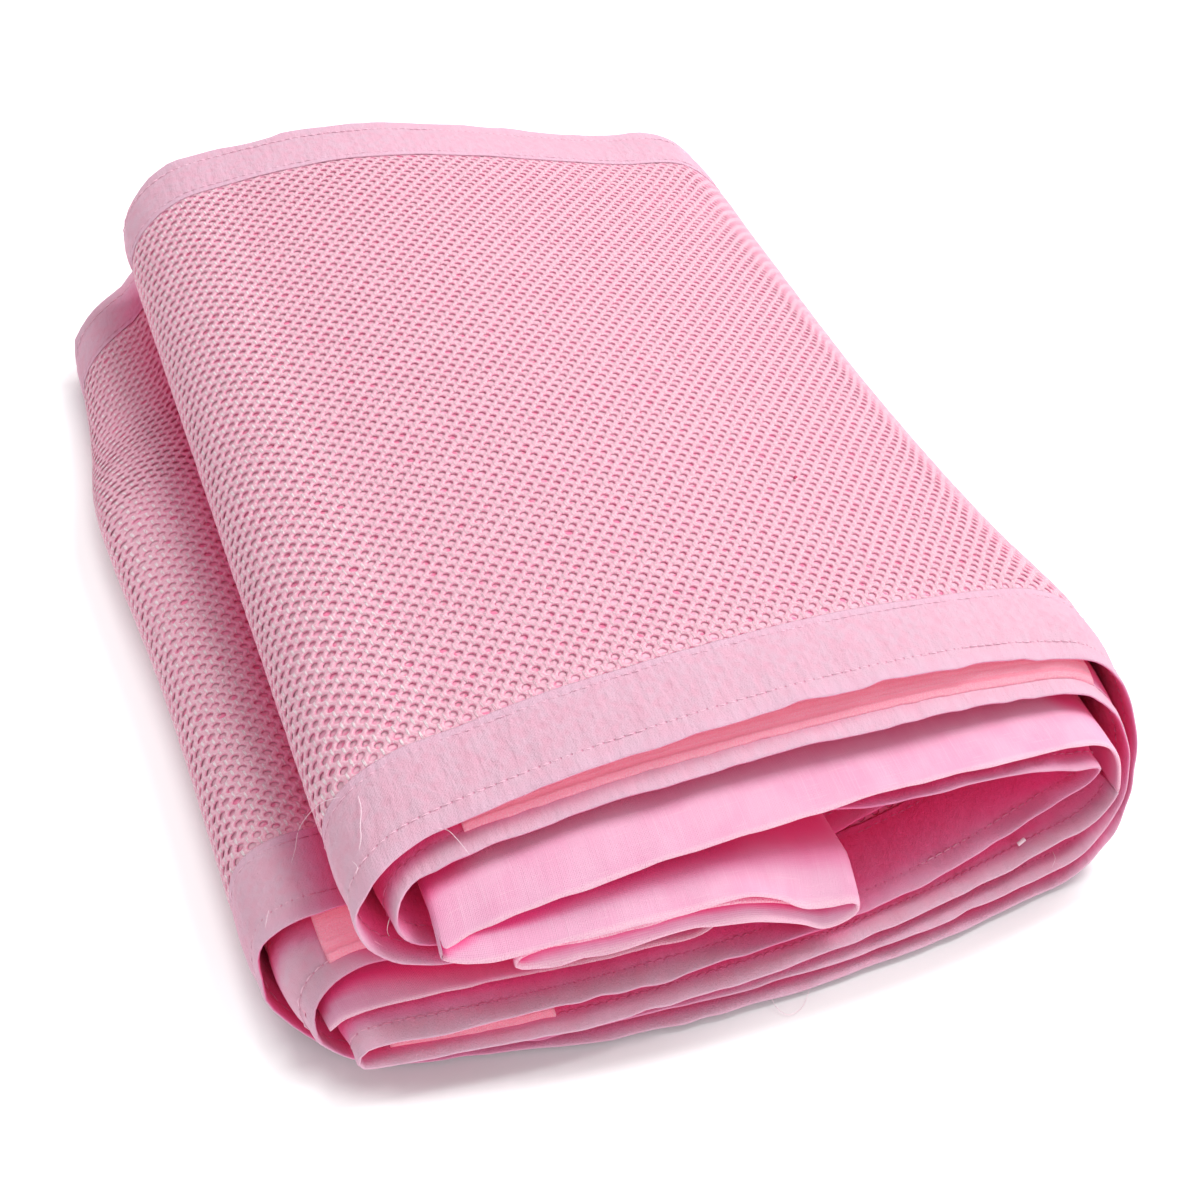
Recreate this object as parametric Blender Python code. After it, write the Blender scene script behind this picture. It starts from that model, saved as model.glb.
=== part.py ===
"""Crib bumper: one long bound strip of air mesh with a plain cotton panel at each end, folded into a flat pack.

The strip runs back and forth in X. Every pass and every fold is a row of the tables below, in the pack's
side view (X to the right, Z up, millimetres); the strip's 300 mm width lies along Y. Each cloth piece is
lofted or thickened along that one path, so that no piece crosses another.
"""

import math

import bmesh
import bpy

# ---------------------------------------------------------------- driving sizes, mm
STRIP_WIDTH = 300.0        # finished width of the strip, front edge to back edge
MESH_THICK = 4.0           # air mesh, free
MESH_PRESSED = 1.4         # air mesh, sewn flat inside the binding
BIND_WIDTH = 25.0          # binding, free edge to seam
BIND_WALL = 1.0            # one turn of binding cloth
PIECE_GAP = 0.3            # between two pieces that touch
END_INSET = 1.0            # the mesh stops this far short of the bindings' ends
COTTON_THICK = 1.2         # end panels, a doubled plain cotton
TAPE_THICK = 1.0           # loop side of the hook-and-loop tape
TAPE_WIDTH = 19.0
TAPE_INSET = 5.0           # from the binding's free edge to the tape
MESH_RAMP = 4.6            # where the mesh swells from its pressed to its free thickness
MESH_ACROSS = (70.0, 155.0)  # where the mesh may bend along Y
BOUND_DROOP = 30.0         # width over which a bound edge sags
COTTON_DROOP = 11.0        # width over which a cotton edge sags
CENTRE = (103.85, 122.75)    # middle of the pack in X and Y, taken to the origin

# ---------------------------------------------------------------- passes
# x_l, x_r: where the pass leaves its left and right fold. z0..z4: height of its middle at five even
# steps from x_l to x_r. y_l, y_r: its front edge at the left and right, y_bow: more of it half way.
# sag_l, sag_r: how far its front edge hangs there. Rows stand in the pack's order, from the bottom up.
PASS_COLUMNS = ("x_l", "x_r", "z0", "z1", "z2", "z3", "z4", "y_l", "y_r", "y_bow", "sag_l", "sag_r")
PASSES = {
    "base_a":    (12.0, 200.0, 2.0, 2.0, 2.0, 2.0, 2.0, -41.0, -42.0, -9.0, 0.0, 0.0),
    "base_b":    (4.0, 202.0, 6.6, 6.5, 6.5, 6.7, 8.5, -40.0, -40.0, -8.0, 0.0, 0.0),
    "low_c":     (-9.3, 202.0, 12.2, 11.0, 11.0, 11.7, 16.2, -44.0, -36.0, -8.0, 0.0, 0.0),
    "low_d":     (-9.3, 204.0, 17.8, 17.0, 15.7, 17.4, 31.5, -41.0, -31.0, -7.0, 0.0, 0.0),
    "left_end":  (-2.0, 84.0, 21.4, 20.8, 20.3, 19.7, 19.1, -33.0, -36.0, 0.0, 0.0, 0.0),
    "left_b":    (1.0, 79.0, 25.1, 24.2, 23.4, 22.8, 22.6, -23.0, -26.0, 0.0, 0.0, 0.0),
    "left_a":    (-4.0, 79.0, 30.8, 30.1, 29.2, 28.3, 28.8, -8.0, -11.0, 0.0, 0.0, 0.0),
    "under_a":   (14.0, 78.0, 34.6, 34.0, 33.2, 32.8, 33.3, -24.0, -34.0, 0.0, 0.0, 0.0),
    "under_b":   (16.0, 100.0, 39.0, 38.2, 37.4, 37.9, 31.0, -27.0, -21.0, 0.0, 0.0, 0.0),
    "cavity_b":  (100.0, 193.0, 31.0, 20.9, 22.3, 28.2, 34.3, -21.0, -9.0, 0.0, 0.0, 0.0),
    "inner_c":   (34.5, 118.0, 41.2, 40.5, 41.3, 38.0, 26.4, -40.0, -44.0, 0.0, 10.0, 5.0),
    "inner_b":   (34.5, 114.0, 44.6, 43.4, 43.8, 41.8, 33.0, -38.0, -41.0, 0.0, 8.0, 4.0),
    "inner_a":   (24.0, 119.0, 46.5, 46.0, 46.2, 44.6, 39.0, -40.0, -42.0, 0.0, 6.5, 2.0),
    "right_b":   (96.0, 194.0, 47.7, 44.9, 43.3, 42.3, 41.2, -9.0, -9.0, 0.0, 0.0, 0.0),
    "right_a":   (96.0, 204.0, 53.6, 50.7, 48.9, 47.9, 46.0, -14.0, -31.0, 0.0, 0.0, 0.0),
    "top_c":     (25.0, 205.0, 50.8, 56.6, 57.4, 55.0, 51.2, -34.0, -27.0, 0.0, 5.0, 1.0),
    "top_b":     (22.0, 205.0, 57.6, 64.4, 66.2, 64.8, 58.4, -18.0, -13.0, -1.0, 2.0, 1.5),
    "top_a":     (20.0, 207.0, 64.0, 71.8, 74.6, 72.6, 65.2, -14.0, -4.0, 0.0, 1.5, 1.5),
}

# ---------------------------------------------------------------- folds
# Each row is one fold that the strip takes from a pass to the next: the outermost point of its middle
# line, how full its two halves are (0.55 is round, less is sharper), its number of steps, and how late
# its front edge moves over to where the next pass has it (1 is evenly).
FOLD_COLUMNS = ("side", "apex_x", "apex_z", "full_in", "full_out", "steps", "lag")
FOLDS = {
    ("inner_b", "inner_c"):   ("L", 31.8, 42.8, 0.60, 0.60, 6, 1.0),
    ("inner_c", "inner_a"):   ("R", 130.0, 30.0, 0.45, 0.75, 8, 1.0),
    ("inner_a", "top_c"):     ("L", 12.5, 47.6, 0.50, 0.50, 6, 1.0),
    ("top_c", "low_c"):       ("R", 223.0, 30.0, 0.60, 0.55, 8, 1.0),
    ("low_c", "low_d"):       ("L", -12.5, 15.0, 0.56, 0.56, 6, 1.0),
    ("low_d", "right_a"):     ("R", 212.5, 41.6, 0.45, 0.60, 6, 1.0),
    ("right_a", "right_b"):   ("L", 92.8, 50.65, 0.56, 0.56, 6, 1.0),
    ("right_b", "cavity_b"):  ("R", 198.6, 38.2, 0.62, 0.62, 6, 1.0),
    ("under_b", "top_b"):     ("L", 4.5, 47.0, 0.55, 0.55, 8, 1.0),
    ("top_b", "base_b"):      ("R", 229.6, 31.5, 0.58, 0.58, 10, 1.0),
    ("base_b", "left_b"):     ("L", -20.4, 17.4, 0.75, 0.67, 8, 1.0),
    ("left_b", "left_a"):     ("R", 82.6, 25.7, 0.56, 0.56, 6, 1.0),
    ("left_a", "base_a"):     ("L", -25.6, 17.4, 0.63, 0.82, 8, 2.0),
    ("base_a", "top_a"):      ("R", 235.0, 32.0, 0.58, 0.58, 10, 1.0),
    ("top_a", "under_a"):     ("L", -3.5, 47.0, 0.55, 0.55, 8, 1.0),
    ("under_a", "left_end"):  ("R", 92.5, 26.0, 0.58, 0.58, 8, 1.0),
}

# the whole strip, from the free end of one cotton panel to the free end of the other
ORDER = (
    "inner_b", "inner_c", "inner_a", "top_c",
    "low_c", "low_d", "right_a", "right_b", "cavity_b", "under_b", "top_b", "base_b",
    "left_b", "left_a", "base_a", "top_a", "under_a",
    "left_end",
)
FIRST_PASS_RUNS = -1       # the strip sets off to the left
SEAM_A = ("top_c", "low_c")        # the first cotton panel ends where this fold does
SEAM_B = ("under_a", "left_end")   # the second one starts where this fold does
PASS_STEPS = 4
CURL = ((-6.2, 0.1), (-11.6, -1.0), (-15.0, -4.9))  # its hemmed free end turns down over the fold below

# loop tapes: the pass each is sewn to, its two ends, and how many stations of the right fold it goes on over
TAPE_COLUMNS = ("pass", "x_from", "x_to", "over_fold")
TAPES = {
    "loop_tape_a": ("top_b", 26.0, 205.0, 3),
    "loop_tape_b": ("left_b", 3.0, 50.0, 0),
    "loop_tape_c": ("low_c", 13.0, 60.0, 0),
    "loop_tape_d": ("right_b", 126.0, 168.0, 0),
}

# ---------------------------------------------------------------- how the pack changes along Y
CROWN = {"middle_x": 115.0, "spread": 55.0, "lean": 0.13, "rise": 0.015}   # its crown lies further left at the back
LEFT_LOW = {"under_z": 20.0, "fade_z": 14.0, "reach": 60.0, "skew": -0.014, "corner": 4.0}
RIGHT_NOSE = {"from_x": 205.0, "fade": 20.0, "out": 3.5, "out_y": 18.0, "out_spread": 28.0,
              "waist": 5.5, "waist_y": 130.0, "waist_spread": 100.0}

MM = 0.001


def ease(u):
    u = max(0.0, min(1.0, u))
    return u * u * (3 - 2 * u)


def row(name):
    return dict(zip(PASS_COLUMNS, PASSES[name]))


def pass_height(name, x):
    """Height and slope of a pass: a smooth curve through its five heights."""
    r = row(name)
    z = [r["z0"], r["z1"], r["z2"], r["z3"], r["z4"]]
    step = (r["x_r"] - r["x_l"]) / 4.0
    slope = [0.0] * 5
    for i in range(1, 4):
        slope[i] = (z[i + 1] - z[i - 1]) / (2 * step)
    slope[0] = 1.5 * (z[1] - z[0]) / step - 0.5 * slope[1]
    slope[4] = 1.5 * (z[4] - z[3]) / step - 0.5 * slope[3]
    join = {"under_b": ("cavity_b", 4), "cavity_b": ("under_b", 0)}.get(name)
    if join:
        o = row(join[0])
        other = (o["z1"], (o["x_r"] - o["x_l"]) / 4.0) if join[1] == 4 else (o["z3"], (o["x_r"] - o["x_l"]) / 4.0)
        mine = (z[3], step) if join[1] == 4 else (z[1], step)
        rise = (other[0] - mine[0]) / (other[1] + mine[1])
        slope[join[1]] = rise if join[1] == 4 else -rise
    u = (x - r["x_l"]) / step
    i = max(0, min(3, int(math.floor(u))))
    t = u - i
    h00, h10 = 2 * t**3 - 3 * t**2 + 1, t**3 - 2 * t**2 + t
    h01, h11 = -2 * t**3 + 3 * t**2, t**3 - t**2
    height = h00 * z[i] + h10 * step * slope[i] + h01 * z[i + 1] + h11 * step * slope[i + 1]
    d00, d10 = 6 * t**2 - 6 * t, 3 * t**2 - 4 * t + 1
    d01, d11 = -d00, 3 * t**2 - 2 * t
    rise = (d00 * z[i] + d01 * z[i + 1]) / step + d10 * slope[i] + d11 * slope[i + 1]
    return height, rise


def pass_edge(name, x):
    """Where the front edge of a pass lies in Y, and how far it hangs."""
    r = row(name)
    u = (x - r["x_l"]) / (r["x_r"] - r["x_l"])
    y = r["y_l"] + (r["y_r"] - r["y_l"]) * u + r["y_bow"] * 4 * u * (1 - u)
    return y, r["sag_l"] + (r["sag_r"] - r["sag_l"]) * u


def bezier(a, b, c, d, t):
    s = 1 - t
    return tuple(s**3 * a[k] + 3 * s * s * t * b[k] + 3 * s * t * t * c[k] + t**3 * d[k] for k in range(len(a)))


def fold_points(first, second):
    """The middle line of a fold between the ends of two passes, as (x, z, share of the way)."""
    f = dict(zip(FOLD_COLUMNS, FOLDS[(first, second)]))
    right = f["side"] == "R"
    key = "x_r" if right else "x_l"
    xa, xb = row(first)[key], row(second)[key]
    za, sa = pass_height(first, xa)
    zb, sb = pass_height(second, xb)
    out = 1.0 if right else -1.0
    apex = (f["apex_x"], f["apex_z"])
    la, lb = abs(apex[0] - xa), abs(apex[0] - xb)
    ka, kb = f["full_in"], f["full_out"]
    half = f["steps"] // 2
    points = []
    for i in range(1, half + 1):
        t = i / half
        p = bezier((xa, za), (xa + out * la * ka, za + sa * out * la * ka),
                   (apex[0], apex[1] + (za - apex[1]) * ka), apex, t)
        points.append((p[0], p[1], 0.5 * t))
    for i in range(1, half):
        t = i / half
        p = bezier(apex, (apex[0], apex[1] + (zb - apex[1]) * kb),
                   (xb + out * lb * kb, zb + sb * out * lb * kb), (xb, zb), t)
        points.append((p[0], p[1], 0.5 + 0.5 * t))
    return points


def strip_path():
    """Stations along the whole strip: x, z, front edge y, sag, pass or fold name."""
    stations = []
    run = FIRST_PASS_RUNS
    for n, name in enumerate(ORDER):
        r = row(name)
        ends = (r["x_l"], r["x_r"]) if run > 0 else (r["x_r"], r["x_l"])
        for i in range(PASS_STEPS + 1):
            x = ends[0] + (ends[1] - ends[0]) * i / PASS_STEPS
            z, _ = pass_height(name, x)
            y, sag = pass_edge(name, x)
            if stations and i == 0 and abs(stations[-1]["x"] - x) < 1e-6:
                continue
            stations.append({"x": x, "z": z, "y": y, "sag": sag, "at": name, "run": run})
        if n + 1 < len(ORDER):
            pair = (name, ORDER[n + 1])
            if pair in FOLDS:
                key = "x_r" if FOLDS[pair][0] == "R" else "x_l"
                ya, ga = pass_edge(name, row(name)[key])
                yb, gb = pass_edge(pair[1], row(pair[1])[key])
                lag = dict(zip(FOLD_COLUMNS, FOLDS[pair]))["lag"]
                for x, z, share in fold_points(*pair):
                    soft = ease(share ** lag)
                    stations.append({"x": x, "z": z, "y": ya + (yb - ya) * soft,
                                     "sag": ga + (gb - ga) * soft, "at": pair, "run": 0})
                run = -run
    last = stations[-1]
    for dx, dz in CURL:
        stations.append({"x": last["x"] + dx, "z": last["z"] + dz, "y": last["y"],
                         "sag": last["sag"], "at": "curl", "run": -1})
    for i, s in enumerate(stations):
        before, after = stations[max(i - 1, 0)], stations[min(i + 1, len(stations) - 1)]
        ax, az = s["x"] - before["x"], s["z"] - before["z"]
        bx, bz = after["x"] - s["x"], after["z"] - s["z"]
        la, lb = math.hypot(ax, az), math.hypot(bx, bz)
        tx = (ax / la if la else bx / lb) + (bx / lb if lb else ax / la)
        tz = (az / la if la else bz / lb) + (bz / lb if lb else az / la)
        size = math.hypot(tx, tz)
        # a mitre keeps the cloth as thick at a bend as on the straight
        cos_half = size / 2.0
        s["t"] = (tx / size, tz / size)
        s["n"] = (-tz / size, tx / size)
        s["mitre"] = min(1.0 / max(cos_half, 0.6), 1.25)
    return stations


def settle(x, y, z):
    """How the pack's section changes along Y, as one smooth field, so that no layer crosses another."""
    c, l, r = CROWN, LEFT_LOW, RIGHT_NOSE
    rise = c["rise"] - c["lean"] * math.tanh((x - c["middle_x"]) / c["spread"])
    low = ease((l["reach"] - x) / l["reach"]) * (1 - ease((z - l["under_z"]) / l["fade_z"]))
    corner = l["corner"] * ease((-8.0 - y) / 34.0)
    nose = (r["out"] * math.exp(-((y - r["out_y"]) / r["out_spread"]) ** 2)
            - r["waist"] * math.exp(-((y - r["waist_y"]) / r["waist_spread"]) ** 2))
    nose *= ease((x - r["from_x"]) / r["fade"])
    return (x + low * (l["skew"] * (y - 40.0) + corner) + nose,
            y,
            z * (1 + rise * max(0.0, y) / STRIP_WIDTH * ease((x + 25.0) / 45.0)))


def place(s, across, off, droop_width):
    """A point of the strip in metres: across is measured from the front edge, off along the cloth's normal."""
    sag = s["sag"] * max(0.0, 1.0 - across / droop_width)
    off *= s["mitre"]
    x, y, z = settle(s["x"] + s["n"][0] * off, s["y"] + across, max(0.0, s["z"] + s["n"][1] * off - sag))
    return ((x - CENTRE[0]) * MM, (y - CENTRE[1]) * MM, z * MM)


def material(name, colour, roughness):
    mat = bpy.data.materials.new(name)
    mat.use_nodes = True
    shader = mat.node_tree.nodes["Principled BSDF"]
    shader.inputs["Base Color"].default_value = (*colour, 1.0)
    shader.inputs["Roughness"].default_value = roughness
    shader.inputs["Metallic"].default_value = 0.0
    return mat


def loft(name, stations, ring, droop_width, mat, home):
    """Sweeps a closed cross-section, given as (across, off) pairs, along the stations and caps both ends.

    The diagonals all lean one way, so that two pieces sewn together bend alike.
    """
    bm = bmesh.new()
    rings = [[bm.verts.new(place(s, a, o, droop_width)) for a, o in ring] for s in stations]
    count = len(ring)
    for one, two in zip(rings, rings[1:]):
        for k in range(count):
            m = (k + 1) % count
            if ring[k] <= ring[m]:
                corners = ((one[k], one[m], two[m]), (one[k], two[m], two[k]))
            else:
                corners = ((one[k], one[m], two[k]), (one[m], two[m], two[k]))
            for three in corners:
                bm.faces.new(three)
    bm.faces.new(rings[0])
    bm.faces.new(list(reversed(rings[-1])))
    bmesh.ops.triangulate(bm, faces=bm.faces[:])
    bmesh.ops.recalc_face_normals(bm, faces=bm.faces[:])
    return finish(name, bm, mat, home)


def finish(name, bm, mat, home):
    mesh = bpy.data.meshes.new(name)
    bm.to_mesh(mesh)
    bm.free()
    mesh.materials.append(mat)
    mesh.shade_smooth()
    mesh.set_sharp_from_angle(angle=math.radians(50))
    obj = bpy.data.objects.new(name, mesh)
    home.objects.link(obj)
    return obj


def sheet_ring(across, half):
    return [(a, -half) for a in across] + [(a, half) for a in reversed(across)]


def cut(stations, first, last):
    """The stations between two places, both included."""
    return stations[first:last + 1]


def back_off(stations, index, towards, distance):
    """A copy of one station moved along the strip, for the small gap where two pieces are sewn end to end."""
    s, o = dict(stations[index]), stations[towards]
    length = math.hypot(o["x"] - s["x"], o["z"] - s["z"])
    for key in ("x", "z"):
        s[key] += (o[key] - s[key]) * distance / length
    return s


def along(stations, on, x_from, x_to, over_fold):
    """The stretch of one pass between two places, with its normals turned up, and some of its right fold."""
    flat = sorted((s for s in stations if s["at"] == on), key=lambda s: s["x"])
    up = 1.0 if flat[0]["run"] > 0 else -1.0
    line = []
    for one, two in zip(flat, flat[1:]):
        if two["x"] <= x_from or one["x"] >= x_to:
            continue
        for x in (max(one["x"], x_from), min(two["x"], x_to)):
            u = (x - one["x"]) / (two["x"] - one["x"])
            s = dict(one)
            for key in ("x", "z", "y", "sag"):
                s[key] = one[key] + (two[key] - one[key]) * u
            n = [one["n"][k] + (two["n"][k] - one["n"][k]) * u for k in (0, 1)]
            size = math.hypot(*n)
            s["n"] = (up * n[0] / size, up * n[1] / size)
            if not line or x - line[-1]["x"] > 0.5:
                line.append(s)
    fold = [s for s in stations if s["run"] == 0 and s["at"][0] == on]
    return line + fold[:over_fold]


def main():
    for obj in list(bpy.data.objects):
        bpy.data.objects.remove(obj, do_unlink=True)
    home = bpy.data.collections.new("crib_bumper")
    bpy.context.scene.collection.children.link(home)

    pink_mesh = material("air_mesh", (0.90, 0.42, 0.55), 0.75)
    pink_bind = material("binding_cloth", (0.87, 0.48, 0.64), 0.85)
    pink_cotton = material("plain_cotton", (0.89, 0.45, 0.62), 0.85)
    coral_tape = material("loop_tape", (0.92, 0.28, 0.36), 0.9)

    stations = strip_path()
    seam_a = max(i for i, s in enumerate(stations) if s["at"] == SEAM_A) + 1
    seam_b = min(i for i, s in enumerate(stations) if s["at"] == SEAM_B) - 1

    # the air mesh, pressed flat inside both bindings
    edge = BIND_WALL + PIECE_GAP
    inner = BIND_WIDTH + 0.4
    profile = ((edge, MESH_PRESSED / 2), (inner, MESH_PRESSED / 2), (inner + MESH_RAMP, MESH_THICK / 2))
    half_ring = (list(profile) + [(a, MESH_THICK / 2) for a in MESH_ACROSS]
                 + [(STRIP_WIDTH - a, h) for a, h in reversed(profile)])
    mesh_ring = [(a, -h) for a, h in half_ring] + [(a, h) for a, h in reversed(half_ring)]
    bound = cut(stations, seam_a, seam_b)
    core = ([back_off(stations, seam_a, seam_a + 1, END_INSET)] + bound[1:-1]
            + [back_off(stations, seam_b, seam_b - 1, END_INSET)])
    loft("mesh_panel", core, mesh_ring, BOUND_DROOP, pink_mesh, home)

    # the bindings, folded over each raw edge of the mesh
    h_in = MESH_PRESSED / 2 + PIECE_GAP
    h_out = MESH_THICK / 2
    wrap = [(0.0, -h_out), (BIND_WIDTH, -h_out), (BIND_WIDTH, -h_in), (BIND_WALL, -h_in),
            (BIND_WALL, h_in), (BIND_WIDTH, h_in), (BIND_WIDTH, h_out), (0.0, h_out)]
    loft("binding_front", bound, wrap, BOUND_DROOP, pink_bind, home)
    loft("binding_back", bound, [(STRIP_WIDTH - a, o) for a, o in wrap], BOUND_DROOP, pink_bind, home)

    # the two plain cotton end panels
    across = (0.0, COTTON_DROOP, MESH_ACROSS[-1], STRIP_WIDTH - BIND_WIDTH - MESH_RAMP, STRIP_WIDTH)
    cotton_ring = sheet_ring(across, COTTON_THICK / 2)
    first = cut(stations, 0, seam_a - 1) + [back_off(stations, seam_a, seam_a - 1, PIECE_GAP + 0.1)]
    loft("end_panel_a", first, cotton_ring, COTTON_DROOP, pink_cotton, home)
    second = [back_off(stations, seam_b, seam_b + 1, PIECE_GAP + 0.1)] + cut(stations, seam_b + 1, len(stations) - 1)
    loft("end_panel_b", second, cotton_ring, COTTON_DROOP, pink_cotton, home)

    # the loop tapes, sewn on the upper face of the front binding
    for name, (on, x_from, x_to, over_fold) in TAPES.items():
        line = along(stations, on, x_from, x_to, over_fold)
        low = h_out + PIECE_GAP
        high = low + TAPE_THICK
        a, b = TAPE_INSET, TAPE_INSET + TAPE_WIDTH
        ring = [(a, low), (b, low), (b, high), (a, high)]
        loft(name, line, ring, BOUND_DROOP, coral_tape, home)


main()
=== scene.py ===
import math

import bpy
import numpy as np
from mathutils import Matrix, Vector
from mathutils.bvhtree import BVHTree


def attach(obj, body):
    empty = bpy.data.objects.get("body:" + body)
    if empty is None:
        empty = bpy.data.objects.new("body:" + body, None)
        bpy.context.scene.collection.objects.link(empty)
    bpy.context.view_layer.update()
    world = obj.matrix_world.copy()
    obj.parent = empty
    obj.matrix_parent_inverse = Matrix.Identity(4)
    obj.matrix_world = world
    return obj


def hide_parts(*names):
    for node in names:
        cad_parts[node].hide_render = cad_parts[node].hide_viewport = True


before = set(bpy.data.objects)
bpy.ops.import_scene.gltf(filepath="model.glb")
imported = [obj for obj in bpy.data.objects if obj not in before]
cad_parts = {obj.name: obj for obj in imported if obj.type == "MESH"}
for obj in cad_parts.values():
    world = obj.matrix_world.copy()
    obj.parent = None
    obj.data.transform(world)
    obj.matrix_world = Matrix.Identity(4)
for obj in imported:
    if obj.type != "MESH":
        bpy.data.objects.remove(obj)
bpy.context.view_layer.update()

MM = 0.001
rng = np.random.default_rng(7)

# ---------------------------------------------------------------- the strip's path, in millimetres
STRIP_WIDTH = 300.0
CENTRE = (103.85, 122.75)
BOUND_DROOP, COTTON_DROOP = 30.0, 11.0
PASS_COLUMNS = ("x_l", "x_r", "z0", "z1", "z2", "z3", "z4", "y_l", "y_r", "y_bow", "sag_l", "sag_r")
PASSES = {
    "base_a":    (12.0, 200.0, 2.0, 2.0, 2.0, 2.0, 2.0, -41.0, -42.0, -9.0, 0.0, 0.0),
    "base_b":    (4.0, 202.0, 6.6, 6.5, 6.5, 6.7, 8.5, -40.0, -40.0, -8.0, 0.0, 0.0),
    "low_c":     (-9.3, 202.0, 12.2, 11.0, 11.0, 11.7, 16.2, -44.0, -36.0, -8.0, 0.0, 0.0),
    "low_d":     (-9.3, 204.0, 17.8, 17.0, 15.7, 17.4, 31.5, -41.0, -31.0, -7.0, 0.0, 0.0),
    "left_end":  (-2.0, 84.0, 21.4, 20.8, 20.3, 19.7, 19.1, -33.0, -36.0, 0.0, 0.0, 0.0),
    "left_b":    (1.0, 79.0, 25.1, 24.2, 23.4, 22.8, 22.6, -23.0, -26.0, 0.0, 0.0, 0.0),
    "left_a":    (-4.0, 79.0, 30.8, 30.1, 29.2, 28.3, 28.8, -8.0, -11.0, 0.0, 0.0, 0.0),
    "under_a":   (14.0, 78.0, 34.6, 34.0, 33.2, 32.8, 33.3, -24.0, -34.0, 0.0, 0.0, 0.0),
    "under_b":   (16.0, 100.0, 39.0, 38.2, 37.4, 37.9, 31.0, -27.0, -21.0, 0.0, 0.0, 0.0),
    "cavity_b":  (100.0, 193.0, 31.0, 20.9, 22.3, 28.2, 34.3, -21.0, -9.0, 0.0, 0.0, 0.0),
    "inner_c":   (34.5, 118.0, 41.2, 40.5, 41.3, 38.0, 26.4, -40.0, -44.0, 0.0, 10.0, 5.0),
    "inner_b":   (34.5, 114.0, 44.6, 43.4, 43.8, 41.8, 33.0, -38.0, -41.0, 0.0, 8.0, 4.0),
    "inner_a":   (24.0, 119.0, 46.5, 46.0, 46.2, 44.6, 39.0, -40.0, -42.0, 0.0, 6.5, 2.0),
    "right_b":   (96.0, 194.0, 47.7, 44.9, 43.3, 42.3, 41.2, -9.0, -9.0, 0.0, 0.0, 0.0),
    "right_a":   (96.0, 204.0, 53.6, 50.7, 48.9, 47.9, 46.0, -14.0, -31.0, 0.0, 0.0, 0.0),
    "top_c":     (25.0, 205.0, 50.8, 56.6, 57.4, 55.0, 51.2, -34.0, -27.0, 0.0, 5.0, 1.0),
    "top_b":     (22.0, 205.0, 57.6, 64.4, 66.2, 64.8, 58.4, -18.0, -13.0, -1.0, 2.0, 1.5),
    "top_a":     (20.0, 207.0, 64.0, 71.8, 74.6, 72.6, 65.2, -14.0, -4.0, 0.0, 1.5, 1.5),
}
FOLD_COLUMNS = ("side", "apex_x", "apex_z", "full_in", "full_out", "steps", "lag")
FOLDS = {
    ("inner_b", "inner_c"):   ("L", 31.8, 42.8, 0.60, 0.60, 6, 1.0),
    ("inner_c", "inner_a"):   ("R", 130.0, 30.0, 0.45, 0.75, 8, 1.0),
    ("inner_a", "top_c"):     ("L", 12.5, 47.6, 0.50, 0.50, 6, 1.0),
    ("top_c", "low_c"):       ("R", 223.0, 30.0, 0.60, 0.55, 8, 1.0),
    ("low_c", "low_d"):       ("L", -12.5, 15.0, 0.56, 0.56, 6, 1.0),
    ("low_d", "right_a"):     ("R", 212.5, 41.6, 0.45, 0.60, 6, 1.0),
    ("right_a", "right_b"):   ("L", 92.8, 50.65, 0.56, 0.56, 6, 1.0),
    ("right_b", "cavity_b"):  ("R", 198.6, 38.2, 0.62, 0.62, 6, 1.0),
    ("under_b", "top_b"):     ("L", 4.5, 47.0, 0.55, 0.55, 8, 1.0),
    ("top_b", "base_b"):      ("R", 229.6, 31.5, 0.58, 0.58, 10, 1.0),
    ("base_b", "left_b"):     ("L", -20.4, 17.4, 0.75, 0.67, 8, 1.0),
    ("left_b", "left_a"):     ("R", 82.6, 25.7, 0.56, 0.56, 6, 1.0),
    ("left_a", "base_a"):     ("L", -25.6, 17.4, 0.63, 0.82, 8, 2.0),
    ("base_a", "top_a"):      ("R", 235.0, 32.0, 0.58, 0.58, 10, 1.0),
    ("top_a", "under_a"):     ("L", -3.5, 47.0, 0.55, 0.55, 8, 1.0),
    ("under_a", "left_end"):  ("R", 92.5, 26.0, 0.58, 0.58, 8, 1.0),
}
ORDER = ("inner_b", "inner_c", "inner_a", "top_c",
         "low_c", "low_d", "right_a", "right_b", "cavity_b", "under_b", "top_b", "base_b",
         "left_b", "left_a", "base_a", "top_a", "under_a",
         "left_end")
CURL = ((-6.2, 0.1), (-11.6, -1.0), (-15.0, -4.9))
TAPES = {  # pass, from x, to x, millimetres more round its left fold and its right fold
    "loop_tape_a": ("top_b", 26.0, 205.0, 0.0, 14.0),
    "loop_tape_b": ("left_b", 3.0, 50.0, 13.0, 0.0),
    "loop_tape_c": ("low_c", -4.0, 43.0, 0.0, 0.0),
    "loop_tape_d": ("right_b", 126.0, 168.0, 0.0, 0.0),
}
CROWN = {"middle_x": 115.0, "spread": 55.0, "lean": 0.13, "rise": 0.015}
LEFT_LOW = {"under_z": 20.0, "fade_z": 14.0, "reach": 60.0, "skew": -0.014, "corner": 4.0}
RIGHT_NOSE = {"from_x": 205.0, "fade": 20.0, "out": 3.5, "out_y": 18.0, "out_spread": 28.0,
              "waist": 5.5, "waist_y": 130.0, "waist_spread": 100.0}
BACK_LEFT = {"from_x": 6.0, "run": 32.0, "slide": 25.0, "from_y": 146.0, "over": 86.0, "top_z": 32.4,
             "press": 0.25, "in": 3.3, "bulge": 4.9, "bulge_y": 168.0, "spread": 58.0}
BACK_RIGHT = {"lift": 3.5, "at_x": 212.0, "spread": 22.0}


def ease(u):
    u = np.clip(u, 0.0, 1.0)
    return u * u * (3 - 2 * u)


def row(name):
    return dict(zip(PASS_COLUMNS, PASSES[name]))


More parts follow.
